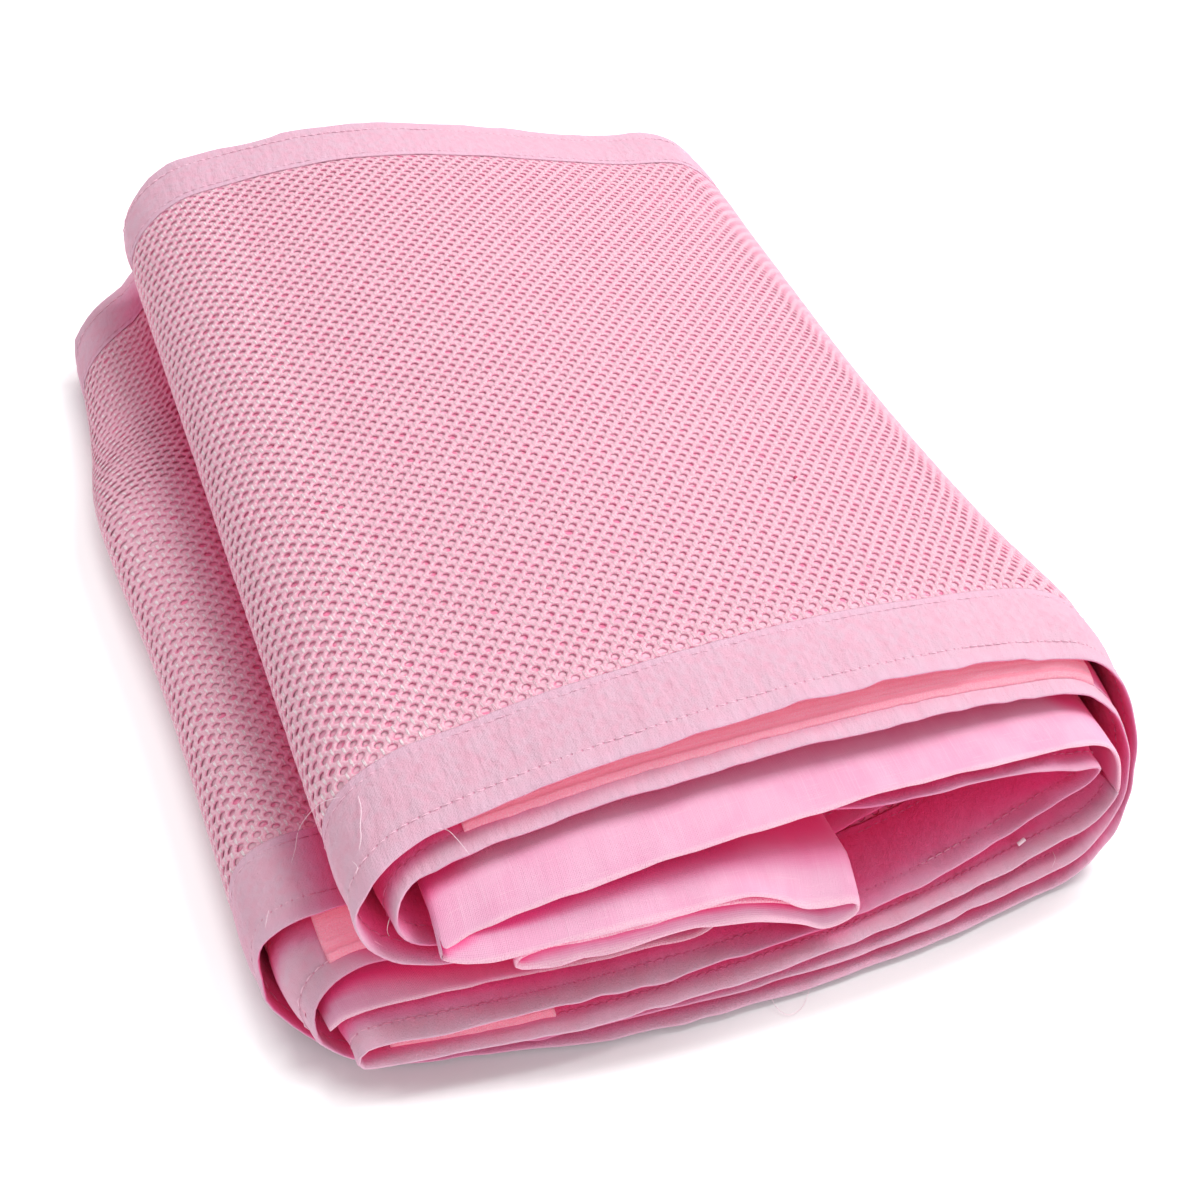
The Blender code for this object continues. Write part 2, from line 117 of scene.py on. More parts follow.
def pass_height(name, x):
    r = row(name)
    z = [r["z0"], r["z1"], r["z2"], r["z3"], r["z4"]]
    step = (r["x_r"] - r["x_l"]) / 4.0
    slope = [0.0] * 5
    for i in range(1, 4):
        slope[i] = (z[i + 1] - z[i - 1]) / (2 * step)
    slope[0] = 1.5 * (z[1] - z[0]) / step - 0.5 * slope[1]
    slope[4] = 1.5 * (z[4] - z[3]) / step - 0.5 * slope[3]
    join = {"under_b": ("cavity_b", 4), "cavity_b": ("under_b", 0)}.get(name)
    if join:
        o = row(join[0])
        other = (o["z1"], (o["x_r"] - o["x_l"]) / 4.0) if join[1] == 4 else (o["z3"], (o["x_r"] - o["x_l"]) / 4.0)
        mine = (z[3], step) if join[1] == 4 else (z[1], step)
        rise = (other[0] - mine[0]) / (other[1] + mine[1])
        slope[join[1]] = rise if join[1] == 4 else -rise
    u = (x - r["x_l"]) / step
    i = max(0, min(3, int(math.floor(u))))
    t = u - i
    h00, h10 = 2 * t**3 - 3 * t**2 + 1, t**3 - 2 * t**2 + t
    h01, h11 = -2 * t**3 + 3 * t**2, t**3 - t**2
    height = h00 * z[i] + h10 * step * slope[i] + h01 * z[i + 1] + h11 * step * slope[i + 1]
    d00, d10 = 6 * t**2 - 6 * t, 3 * t**2 - 4 * t + 1
    d01, d11 = -d00, 3 * t**2 - 2 * t
    return height, (d00 * z[i] + d01 * z[i + 1]) / step + d10 * slope[i] + d11 * slope[i + 1]


def pass_edge(name, x):
    r = row(name)
    u = (x - r["x_l"]) / (r["x_r"] - r["x_l"])
    return (r["y_l"] + (r["y_r"] - r["y_l"]) * u + r["y_bow"] * 4 * u * (1 - u),
            r["sag_l"] + (r["sag_r"] - r["sag_l"]) * u)


def bezier(a, b, c, d, t):
    s = 1 - t
    return tuple(s**3 * a[k] + 3 * s * s * t * b[k] + 3 * s * t * t * c[k] + t**3 * d[k] for k in range(len(a)))


def fold_points(first, second, half=18):
    f = dict(zip(FOLD_COLUMNS, FOLDS[(first, second)]))
    right = f["side"] == "R"
    key = "x_r" if right else "x_l"
    xa, xb = row(first)[key], row(second)[key]
    (za, sa), (zb, sb) = pass_height(first, xa), pass_height(second, xb)
    out = 1.0 if right else -1.0
    apex = (f["apex_x"], f["apex_z"])
    la, lb = abs(apex[0] - xa), abs(apex[0] - xb)
    ka, kb = f["full_in"], f["full_out"]
    points = []
    for i in range(1, half + 1):
        t = i / half
        p = bezier((xa, za), (xa + out * la * ka, za + sa * out * la * ka),
                   (apex[0], apex[1] + (za - apex[1]) * ka), apex, t)
        points.append((p[0], p[1], 0.5 * t))
    for i in range(1, half):
        t = i / half
        p = bezier(apex, (apex[0], apex[1] + (zb - apex[1]) * kb),
                   (xb + out * lb * kb, zb + sb * out * lb * kb), (xb, zb), t)
        points.append((p[0], p[1], 0.5 + 0.5 * t))
    return points, f["lag"]


def smooth(values, spread, step):
    """A Gaussian mean along the strip, ends held."""
    n = int(3 * spread / step)
    k = np.exp(-0.5 * (np.arange(-n, n + 1) * step / spread) ** 2)
    k /= k.sum()
    padded = np.concatenate([2 * values[0] - values[n:0:-1], values, 2 * values[-1] - values[-2:-n - 2:-1]])
    return np.convolve(padded, k, mode="valid")


STEP = 0.5


def make_path():
    raw, places, run = [], {}, -1
    for n, name in enumerate(ORDER):
        r = row(name)
        ends = (r["x_l"], r["x_r"]) if run > 0 else (r["x_r"], r["x_l"])
        start = len(raw)
        for i in range(61):
            x = ends[0] + (ends[1] - ends[0]) * i / 60
            if raw and i == 0 and abs(raw[-1][0] - x) < 1e-6:
                continue
            z, _ = pass_height(name, x)
            y, sag = pass_edge(name, x)
            raw.append((x, z, y, sag))
        places[name] = (start, len(raw) - 1, run)
        if n + 1 < len(ORDER) and (name, ORDER[n + 1]) in FOLDS:
            second = ORDER[n + 1]
            key = "x_r" if FOLDS[(name, second)][0] == "R" else "x_l"
            (ya, ga), (yb, gb) = pass_edge(name, r[key]), pass_edge(second, row(second)[key])
            points, lag = fold_points(name, second)
            for x, z, share in points:
                soft = float(ease(share ** lag))
                raw.append((x, z, ya + (yb - ya) * soft, ga + (gb - ga) * soft))
            run = -run
    last = raw[-1]
    for dx, dz in CURL:
        raw.append((last[0] + dx, last[1] + dz, last[2], last[3]))
    raw = np.array(raw)
    s = np.concatenate([[0], np.cumsum(np.hypot(np.diff(raw[:, 0]), np.diff(raw[:, 1])))])
    spans = {name: (s[a], s[b], run) for name, (a, b, run) in places.items()}
    even = np.arange(0, s[-1], STEP)
    x, z, y, sag = (np.interp(even, s, raw[:, k]) for k in range(4))
    x, z = smooth(x, 1.0, STEP), smooth(z, 1.0, STEP)
    y, sag = smooth(y, 5.0, STEP), smooth(sag, 5.0, STEP)
    tx, tz = np.gradient(x), np.gradient(z)
    size = np.hypot(tx, tz)
    return {"s": even, "x": x, "z": z, "y": y, "sag": sag, "nx": -tz / size, "nz": tx / size}, spans, s[-1]


PATH, SPANS, TOTAL = make_path()


def s_at(name, x):
    """Where on the strip a pass crosses x."""
    a, b, run = SPANS[name]
    s = np.linspace(a, b, 400)
    xs = np.interp(s, PATH["s"], PATH["x"])
    return float(s[np.argmin(abs(xs - x))])


SEAM_A = SPANS["low_c"][0] - 0.45 * (SPANS["low_c"][0] - SPANS["top_c"][1])
SEAM_B = SPANS["under_a"][1]

# ---------------------------------------------------------------- smooth seeded noise
TABLE = rng.random((64, 256, 256))


def noise(u, v=0.0, seed=0):
    """Value noise from -1 to 1 with one cell per unit."""
    u, v = np.broadcast_arrays(np.asarray(u, float), np.asarray(v, float))
    iu, iv = np.floor(u).astype(int), np.floor(v).astype(int)
    fu, fv = u - iu, v - iv
    fu, fv = fu * fu * (3 - 2 * fu), fv * fv * (3 - 2 * fv)
    t = TABLE[seed % 64]
    a, b = t[iu % 256, iv % 256], t[(iu + 1) % 256, iv % 256]
    c, d = t[iu % 256, (iv + 1) % 256], t[(iu + 1) % 256, (iv + 1) % 256]
    return 2 * ((a * (1 - fu) + b * fu) * (1 - fv) + (c * (1 - fu) + d * fu) * fv) - 1


def settle(x, y, z):
    c, l, r, k = CROWN, LEFT_LOW, RIGHT_NOSE, BACK_LEFT
    rise = c["rise"] - c["lean"] * np.tanh((x - c["middle_x"]) / c["spread"])
    low = ease((l["reach"] - x) / l["reach"]) * (1 - ease((z - l["under_z"]) / l["fade_z"]))
    corner = l["corner"] * ease((-8.0 - y) / 34.0)
    nose = (r["out"] * np.exp(-((y - r["out_y"]) / r["out_spread"]) ** 2)
            - r["waist"] * np.exp(-((y - r["waist_y"]) / r["waist_spread"]) ** 2))
    nose = nose * ease((x - r["from_x"]) / r["fade"])
    # at the back the lower left folds turn in at a slant, so the strip's lines slide forward round them
    far = ease((y - k["from_y"]) / k["over"])
    back = k["in"] * ease((y - 190.0) / 80.0) * low - k["bulge"] * np.exp(-((y - k["bulge_y"]) / k["spread"]) ** 2) * low
    # and are pressed flatter, up to the face that parts them from the upper folds
    parting = k["top_z"] + np.where(x < 14.0, 0.2 * (14.0 - x), -0.036 * (x - 14.0))
    under = 1 - ease((z - parting + 0.1) / 0.2)
    into = np.clip((k["from_x"] - x) / k["run"], 0.0, 1.15) * ease((k["from_x"] - x) / 12.0) * under
    press = k["press"] * ease((22.0 - x) / 30.0) * ease((y - 165.0) / 110.0) * under
    b = BACK_RIGHT
    lift = b["lift"] * ease((y - 230.0) / 60.0) * np.exp(-((x - b["at_x"]) / b["spread"]) ** 2) * (z / 60.0) ** 2
    return (x + low * (l["skew"] * (y - 40.0) + corner) + nose + back,
            y - k["slide"] * into * far,
            z * (1 - press) * (1 + rise * np.maximum(0.0, y) / STRIP_WIDTH * ease((x + 25.0) / 45.0)) + lift)


EXTRA_SAG = (      # pass, x on it, millimetres lower at the front edge, length of cloth it runs over
    ("inner_a", 124.0, 9.0, 17.0),
    ("top_a", 207.0, 2.0, 14.0),
    ("right_a", 206.0, 2.0, 12.0),
)
EXTRA_OUT = (      # the same, for millimetres further out over the first 70 mm of the width
    ("under_a", 15.0, 9.0, 34.0),
    ("under_b", 17.0, 5.0, 26.0),
    ("right_a", 127.0, 10.5, 42.0),
)
OUT_MORE = sum(amount * np.exp(-((PATH["s"] - s_at(name, x)) / spread) ** 2) for name, x, amount, spread in EXTRA_OUT)
SAG_MORE = sum(amount * np.exp(-((PATH["s"] - s_at(name, x)) / spread) ** 2) for name, x, amount, spread in EXTRA_SAG)


def place(s, across, off, droop):
    """Points in metres: along the strip, from its front edge, and along the cloth's normal, in mm."""
    s, across, off = np.broadcast_arrays(np.asarray(s, float), np.asarray(across, float), np.asarray(off, float))
    p = {k: np.interp(s, PATH["s"], PATH[k]) for k in ("x", "z", "y", "sag", "nx", "nz")}
    size = np.hypot(p["nx"], p["nz"])
    u = np.clip(1.0 - across / droop, 0.0, 1.0)
    sag = (p["sag"] + np.interp(s, PATH["s"], SAG_MORE)) * (0.65 * u + 0.35 * u * u)
    ahead = np.interp(s, PATH["s"], OUT_MORE) * np.clip(1.0 - across / 70.0, 0.0, 1.0) ** 1.5
    x, y, z = settle(p["x"] + p["nx"] / size * off, p["y"] + across - ahead,
                     np.maximum(0.0, p["z"] + p["nz"] / size * off - sag))
    return np.stack([(x - CENTRE[0]) * MM, (y - CENTRE[1]) * MM, z * MM], axis=-1)


# ---------------------------------------------------------------- meshes from arrays
def build(name, verts, faces, uv, mats, face_mat=None, floats=None, smooth_faces=True):
    """verts (n,3), faces (m,3) or (m,4), uv (n,2) in metres of flat cloth, floats {name: (n,)}."""
    mesh = bpy.data.meshes.new(name)
    k = faces.shape[1]
    mesh.vertices.add(len(verts))
    mesh.vertices.foreach_set("co", verts.astype(np.float32).ravel())
    mesh.loops.add(faces.size)
    mesh.loops.foreach_set("vertex_index", faces.astype(np.int32).ravel())
    mesh.polygons.add(len(faces))
    mesh.polygons.foreach_set("loop_start", np.arange(0, faces.size, k, dtype=np.int32))
    if face_mat is not None:
        mesh.polygons.foreach_set("material_index", face_mat.astype(np.int32))
    mesh.polygons.foreach_set("use_smooth", np.full(len(faces), smooth_faces, bool))
    layer = mesh.uv_layers.new(name="flat")
    layer.data.foreach_set("uv", uv[faces.ravel()].astype(np.float32).ravel())
    for key, values in (floats or {}).items():
        mesh.attributes.new(key, "FLOAT", "POINT").data.foreach_set("value", values.astype(np.float32))
    mesh.update(calc_edges=True)
    mesh.validate()
    for m in mats:
        mesh.materials.append(m)
    obj = bpy.data.objects.new(name, mesh)
    bpy.context.scene.collection.objects.link(obj)
    return obj


def sweep(name, S, across, off, droop, mats, side_mat=None, floats=None):
    """A closed ring, (n,) or (m,n) across and off, swept along the stations S and capped with quads."""
    m = len(S)
    across = np.broadcast_to(across, (m, np.shape(across)[-1]))
    off = np.broadcast_to(off, across.shape)
    n = across.shape[1]
    verts = place(S[:, None], across, off, droop).reshape(-1, 3)
    i, j = np.meshgrid(np.arange(m - 1), np.arange(n), indexing="ij")
    a, b = i * n + j, i * n + (j + 1) % n
    faces = np.stack([a, b, b + n, a + n], axis=-1).reshape(-1, 4)
    half = n // 2
    k = np.arange(half - 1)
    cap0 = np.stack([k, n - 1 - k, n - 2 - k, k + 1], axis=-1)
    cap1 = np.stack([k, k + 1, n - 2 - k, n - 1 - k], axis=-1) + (m - 1) * n
    faces = np.concatenate([faces, cap0, cap1])
    v = verts[faces]
    if np.einsum("ij,ij->i", v[:, 0], np.cross(v[:, 1], v[:, 2]) + np.cross(v[:, 2], v[:, 3])).sum() < 0:
        faces = faces[:, ::-1]
    uv = np.stack([np.broadcast_to(S[:, None], across.shape), across], axis=-1).reshape(-1, 2) * MM
    marks = None
    if side_mat is not None:
        marks = np.concatenate([side_mat(i, j).ravel(), np.zeros(2 * (half - 1), int)])
    return build(name, verts, faces, uv, mats, marks, floats)


# ---------------------------------------------------------------- how deep in the folds each spot lies, found by casting rays, for the shade painted into the materials
def on_cotton(s):
    return (s < SEAM_A) | (s > SEAM_B)


def deep_grid():
    """0 in the open to 1 between two layers, on a grid of the strip, for each of its faces."""
    S = np.arange(0.0, TOTAL, 3.5)
    e = np.array([0.0, 2, 5, 8, 12, 17, 23, 30, 42, 60, 90, 130])
    A = np.concatenate([e, STRIP_WIDTH - e[::-1]])
    s, a = np.meshgrid(S, A, indexing="ij")
    rim = np.minimum(a, STRIP_WIDTH - a)
    half = np.where(on_cotton(s), 0.6, np.interp(rim, [0, 1, 6, 12, 24, 30], [0.3, 0.7, 0.9, 1.7, 1.6, 2.0]))
    droop = np.where(on_cotton(s), COTTON_DROOP, BOUND_DROOP)
    verts = np.concatenate([place(s, a, side * half, droop).reshape(-1, 3) for side in (-1.0, 1.0)])
    m, n = s.shape
    i, j = np.meshgrid(np.arange(m - 1), np.arange(n - 1), indexing="ij")
    q = np.stack([i * n + j, i * n + j + 1, (i + 1) * n + j + 1, (i + 1) * n + j], axis=-1).reshape(-1, 4)
    tree = BVHTree.FromPolygons(verts.tolist(), np.concatenate([q, q + m * n]).tolist())
    rays, reach = 20, 0.085
    k = np.arange(rays) + 0.5
    r, phi = np.sqrt(k / rays), k * 2.399963
    local = np.stack([r * np.cos(phi), r * np.sin(phi), np.sqrt(1 - r * r)], axis=-1)
    grids = []
    for side in (-1.0, 1.0):
        p = place(s, a, side * (half + 0.4), droop)
        up = place(s, a, side * (half + 1.4), droop) - p
        up /= np.maximum(np.linalg.norm(up, axis=-1, keepdims=True), 1e-9)
        up[..., 1] += np.where(a < 150, -1.2, 1.2) * np.clip(1 - rim / 7.0, 0, 1)
        up /= np.maximum(np.linalg.norm(up, axis=-1, keepdims=True), 1e-9)
        other = np.where(abs(up[..., 0:1]) < 0.7, np.array([1.0, 0, 0]), np.array([0, 0, 1.0]))
        t1 = np.cross(up, other)
        t1 /= np.maximum(np.linalg.norm(t1, axis=-1, keepdims=True), 1e-9)
        t2 = np.cross(up, t1)
        ways = (local[:, 0, None, None, None] * t1 + local[:, 1, None, None, None] * t2 + local[:, 2, None, None, None] * up)
        ways = ways.transpose(1, 2, 0, 3).reshape(-1, rays, 3).tolist()
        found = []
        for at, fan in zip(p.reshape(-1, 3).tolist(), ways):
            total = 0.0
            for way in fan:
                far = tree.ray_cast(at, way, reach)[3]
                if far is not None:
                    total += 1.0 - far / reach * 0.8
            found.append(total / rays)
        g = np.array(found).reshape(m, n)
        g[1:-1] = 0.25 * g[:-2] + 0.5 * g[1:-1] + 0.25 * g[2:]
        grids.append(g)
    return S, A, grids


DEEP_S, DEEP_A, DEEP = deep_grid()


def deep_at(s, a, side):
    """side: -1, 1, or 0 for a free edge, which gets the mean of both."""
    s, a, side = (v.ravel() for v in np.broadcast_arrays(np.asarray(s, float), np.asarray(a, float), np.asarray(side, float)))
    u = np.clip(s / 3.5, 0, len(DEEP_S) - 1.001)
    v = np.interp(a, DEEP_A, np.arange(len(DEEP_A)))
    v = np.clip(v, 0, len(DEEP_A) - 1.001)
    i, j = u.astype(int), v.astype(int)
    fu, fv = u - i, v - j
    low, high = ((g[i, j] * (1 - fu) + g[i + 1, j] * fu) * (1 - fv) + (g[i, j + 1] * (1 - fu) + g[i + 1, j + 1] * fu) * fv
                 for g in DEEP)
    return np.where(side < 0, low, np.where(side > 0, high, 0.5 * (low + high)))


# ---------------------------------------------------------------- materials
def lin(r, g, b):
    f = lambda c: c / 12.92 if c <= 0.04045 else ((c + 0.055) / 1.055) ** 2.4
    return (f(r / 255), f(g / 255), f(b / 255), 1.0)


class Paint:
    """Short calls for a node tree."""

    def __init__(self, name, roughness, sheen=0.0, sheen_rough=0.5):
        self.mat = bpy.data.materials.new(name)
        self.mat.use_nodes = True
        self.tree = self.mat.node_tree
        self.shader = self.tree.nodes["Principled BSDF"]
        self.shader.inputs["Roughness"].default_value = roughness
        self.shader.inputs["Specular IOR Level"].default_value = 0.25
        self.shader.inputs["Sheen Weight"].default_value = sheen
        self.shader.inputs["Sheen Roughness"].default_value = sheen_rough
        self.shader.inputs["Sheen Tint"].default_value = (1.0, 0.72, 0.84, 1.0)
        uv = self.node("ShaderNodeUVMap", props={"uv_map": "flat"}).outputs["UV"]
        scaled = self.node("ShaderNodeVectorMath", props={"operation": "SCALE"}, ins={0: uv, "Scale": 1000.0})
        self.uv = scaled.outputs[0]                      # millimetres of flat cloth: x along the strip, y across
        parts = self.node("ShaderNodeSeparateXYZ", ins={0: self.uv})
        self.s, self.a = parts.outputs[0], parts.outputs[1]

    def node(self, kind, props=None, ins=None):
        n = self.tree.nodes.new(kind)
        for k, v in (props or {}).items():
            setattr(n, k, v)
        for k, v in (ins or {}).items():
            if isinstance(v, bpy.types.NodeSocket):
                self.tree.links.new(v, n.inputs[k])
            else:
                n.inputs[k].default_value = v
        return n

    def math(self, op, a, b=0.0, c=0.0):
        return self.node("ShaderNodeMath", {"operation": op}, {0: a, 1: b, 2: c}).outputs[0]

    def mix(self, fac, a, b, blend="MIX"):
        n = self.node("ShaderNodeMix", {"data_type": "RGBA", "blend_type": blend}, {0: fac, 6: a, 7: b})
        return n.outputs[2]

    def span(self, v, lo, hi, to_lo=0.0, to_hi=1.0):
        return self.node("ShaderNodeMapRange", {"interpolation_type": "SMOOTHSTEP"},
                         {0: v, 1: lo, 2: hi, 3: to_lo, 4: to_hi}).outputs[0]

    def noise(self, scale, detail=2.0, stretch=(1, 1), turn=0.0, rough=0.5):
        v = self.uv
        if stretch != (1, 1) or turn:
            v = self.node("ShaderNodeMapping", ins={0: v, 2: (0, 0, turn), 3: (stretch[0], stretch[1], 1)}).outputs[0]
        n = self.node("ShaderNodeTexNoise", {"noise_dimensions": "2D"},
                      {"Vector": v, "Scale": scale, "Detail": detail, "Roughness": rough})
        return n.outputs[0]

    def holes(self, rs, ra, shift=(0.0, 0.0)):
        """1 between the net's holes and 0 in them: distance to the nearest one, in hole sizes."""
        found = []
        for half in (0.0, 0.5):
            u = self.math("ADD", self.math("DIVIDE", self.math("ADD", self.s, shift[0]), PITCH_S), half + 0.5)
            v = self.math("ADD", self.math("DIVIDE", self.math("ADD", self.a, shift[1]), PITCH_A), half + 0.5)
            du = self.math("MULTIPLY", self.math("SUBTRACT", self.math("FRACT", u), 0.5), PITCH_S / rs)
            dv = self.math("MULTIPLY", self.math("SUBTRACT", self.math("FRACT", v), 0.5), PITCH_A / ra)
            found.append(self.math("SQRT", self.math("ADD", self.math("MULTIPLY", du, du), self.math("MULTIPLY", dv, dv))))
        return self.math("MINIMUM", *found)

    def between(self, rs, ra):
        """Distance to the nearest crossing of the net's strands, in the sizes given."""
        found = []
        for hu, hv in ((0.5, 0.0), (0.0, 0.5)):
            u = self.math("ADD", self.math("DIVIDE", self.s, PITCH_S), hu + 0.5)
            v = self.math("ADD", self.math("DIVIDE", self.a, PITCH_A), hv + 0.5)
            du = self.math("MULTIPLY", self.math("SUBTRACT", self.math("FRACT", u), 0.5), PITCH_S / rs)
            dv = self.math("MULTIPLY", self.math("SUBTRACT", self.math("FRACT", v), 0.5), PITCH_A / ra)
            found.append(self.math("SQRT", self.math("ADD", self.math("MULTIPLY", du, du), self.math("MULTIPLY", dv, dv))))
        return self.math("MINIMUM", *found)

    def paint_fold_shade(self, colour, tint, lo=0.3, hi=0.85, most=0.85, soft=0.8, first=(1.0, 0.66, 0.82, 1.0)):
        """Painted shade: deep in the folds the colour is multiplied darker, then mixed toward a strong tint, standing
        in for the shade and reddened bounce light there.
        """
        deep = self.attribute("deep")
        colour = self.mix(self.math("MULTIPLY", self.span(deep, 0.03, 0.42), soft), colour, first, "MULTIPLY")
        return self.mix(self.span(deep, lo, hi, 0.0, most), colour, tint)

    def attribute(self, name):
        return self.node("ShaderNodeAttribute", {"attribute_name": name}).outputs["Fac"]

    def finish(self, colour, height=None, distance=0.0002, strength=0.6):
        if isinstance(colour, bpy.types.NodeSocket):
            self.tree.links.new(colour, self.shader.inputs["Base Color"])
        else:
            self.shader.inputs["Base Color"].default_value = colour
        if height is not None:
            bump = self.node("ShaderNodeBump", ins={"Height": height, "Distance": distance, "Strength": strength})
            self.tree.links.new(bump.outputs[0], self.shader.inputs["Normal"])
        return self.mat


PITCH_S, PITCH_A = 5.0, 4.42   # the net's repeat along and across the strip; every second row is offset by half
STITCH_NEAR, STITCH_SEAM, STITCH_PITCH = 5.6, 22.6, 2.9
# the strong red painted into the deepest folds as shade
FOLD_SHADE_CRIMSON = lin(246, 66, 136)


def net_paint():
    p = Paint("air_net", 0.6, 0.3, 0.4)
    crest = p.attribute("crest")
    tone = p.attribute("tone")
    loops = p.attribute("loops")
    fibre = p.math("MAXIMUM", p.noise(1.0, 3.0, (0.6, 4.5), 0.733), p.noise(1.0, 3.0, (0.6, 4.5), -0.733))
    wisp = p.noise(1.0, 2.0, (3.6, 0.7), 0.12)
    white = p.math("MULTIPLY", p.span(fibre, 0.52, 0.66), p.span(crest, 0.2, 0.9))
    body = p.mix(p.span(crest, 0.0, 0.6), lin(243, 138, 176), lin(243, 172, 195))
    body = p.mix(p.math("MULTIPLY", tone, 0.35), body, lin(246, 190, 209))
    colour = p.mix(p.math("MULTIPLY", white, 0.5), body, lin(250, 216, 225))
    rim = p.holes(1.14, 0.96)
    ring = p.math("MULTIPLY", p.span(rim, 1.02, 1.2), p.span(rim, 1.62, 1.36))
    ring = p.math("MULTIPLY", ring, p.span(p.noise(1.3, 2.0), 0.38, 0.6))
    colour = p.mix(p.math("MULTIPLY", ring, 0.6), colour, lin(252, 220, 230))
    # the loops of fine white filament that stand at the strands' crossings
    loop = p.math("MULTIPLY", p.span(p.between(0.42, 1.45), 1.12, 0.5), p.span(wisp, 0.27, 0.52))
    colour = p.mix(p.math("MULTIPLY", loop, loops), colour, lin(255, 238, 242))
    # painted shade: the net turns darker and redder deep in the folds
    colour = p.paint_fold_shade(colour, lin(248, 84, 150), 0.25, 0.75)
    height = p.math("ADD", fibre, p.math("MULTIPLY", loop, 0.8))
    return p.finish(colour, height, 0.00035, 0.8)


def inner_paint():
    """The spacer's lower face, seen through the net's holes."""
    p = Paint("air_mesh_inside", 0.8, 0.15)
    lower = p.span(p.holes(1.35, 1.15, (1.1, 1.4)), 0.7, 1.15)
    colour = p.mix(lower, lin(247, 172, 199), lin(250, 192, 211))
    colour = p.mix(p.span(p.noise(0.24, 2.0), 0.44, 0.64), colour, lin(240, 190, 206))
    colour = p.mix(p.span(p.noise(0.31, 2.0, (1, 1), 0.5), 0.56, 0.72), colour, lin(248, 136, 174))
    # painted shade: darker and redder deep in the folds
    colour = p.paint_fold_shade(colour, lin(234, 56, 120), 0.2, 0.8, 0.85)
    return p.finish(colour, lower, 0.0004, 0.5)


def mesh_paint():
    """The air mesh where it hardly shows."""
    p = Paint("air_mesh", 0.7, 0.2)
    strand = p.span(p.holes(1.2, 1.0), 0.85, 1.15)
    # painted shade: the mesh colour turns darker and redder deep in the folds
    colour = p.paint_fold_shade(p.mix(strand, lin(214, 104, 142), lin(246, 180, 202)), FOLD_SHADE_CRIMSON)
    return p.finish(colour, strand, 0.0008, 0.8)


def binding_paint():
    p = Paint("binding_cloth", 0.85, 0.15, 0.5)
    edge = p.math("MINIMUM", p.a, p.math("SUBTRACT", STRIP_WIDTH, p.a))  # distance from the free edge
    beneath = p.span(p.holes(1.7, 1.5), 0.35, 1.3)
    blotch = p.noise(0.20, 3.0)
    patch = p.noise(0.34, 1.0, (1, 1), 0.78)
    fine = p.noise(1.9, 3.0)
    felt = p.noise(5.5, 2.0)
    show = p.math("MULTIPLY", p.span(edge, 6.5, 9.5), p.span(edge, 24.0, 20.5))
    dots = p.math("MULTIPLY", p.math("SUBTRACT", 1.0, beneath), p.math("MULTIPLY", show, p.span(patch, 0.32, 0.66)))
    colour = p.mix(p.span(blotch, 0.34, 0.68), lin(225, 181, 201), lin(229, 174, 196))
    colour = p.mix(p.math("MULTIPLY", dots, 0.5), colour, lin(228, 162, 186))
    colour = p.mix(p.math("MULTIPLY", p.span(felt, 0.35, 0.75), 0.35), colour, lin(246, 206, 220))
    lilac = p.math("MAXIMUM", p.span(edge, 21.0, 24.5), p.span(edge, 4.0, 1.5))
    colour = p.mix(p.math("MULTIPLY", lilac, 0.25), colour, lin(232, 190, 214))
    # needle holes at both stitch lines, and the small pulls beside them
    needle, pull = None, None
    for line, share in ((STITCH_NEAR, 0.8), (STITCH_SEAM, 0.35)):
        u = p.math("MULTIPLY", p.math("SUBTRACT", p.math("FRACT", p.math("DIVIDE", p.s, STITCH_PITCH)), 0.5), STITCH_PITCH)
        v = p.math("SUBTRACT", edge, line)
        d = p.math("SQRT", p.math("ADD", p.math("MULTIPLY", u, u), p.math("MULTIPLY", v, v)))
        m = p.math("MULTIPLY", p.span(d, 0.16, 0.40, 1.0, 0.0), share)
        w = p.math("MULTIPLY", p.span(p.math("ABSOLUTE", v), 0.2, 2.6, 1.0, 0.0), p.span(p.math("ABSOLUTE", u), 0.1, 1.2, 1.0, 0.0))
        needle = m if needle is None else p.math("MAXIMUM", needle, m)
        pull = w if pull is None else p.math("MAXIMUM", pull, w)
    colour = p.mix(p.math("MULTIPLY", needle, 0.6), colour, lin(222, 112, 152))
    # painted shade: the binding turns darker and redder deep in the folds
    colour = p.paint_fold_shade(colour, FOLD_SHADE_CRIMSON, 0.24, 0.78, 0.95, 1.0, (1.0, 0.52, 0.74, 1.0))
    weave = p.math("ADD", p.math("SINE", p.math("MULTIPLY", p.s, 17.0)), p.math("SINE", p.math("MULTIPLY", p.a, 17.0)))
    height = p.math("ADD", p.math("MULTIPLY", fine, 1.0), p.math("MULTIPLY", weave, 0.08))
    height = p.math("ADD", height, p.math("MULTIPLY", felt, 0.5))
    height = p.math("ADD", height, p.math("MULTIPLY", p.noise(1.0, 2.0, (0.36, 0.08)), 2.4))
    height = p.math("SUBTRACT", height, p.math("MULTIPLY", dots, 0.5))
    height = p.math("SUBTRACT", height, p.math("ADD", p.math("MULTIPLY", needle, 1.2), p.math("MULTIPLY", pull, 0.35)))
    return p.finish(colour, height, 0.00028, 0.75)


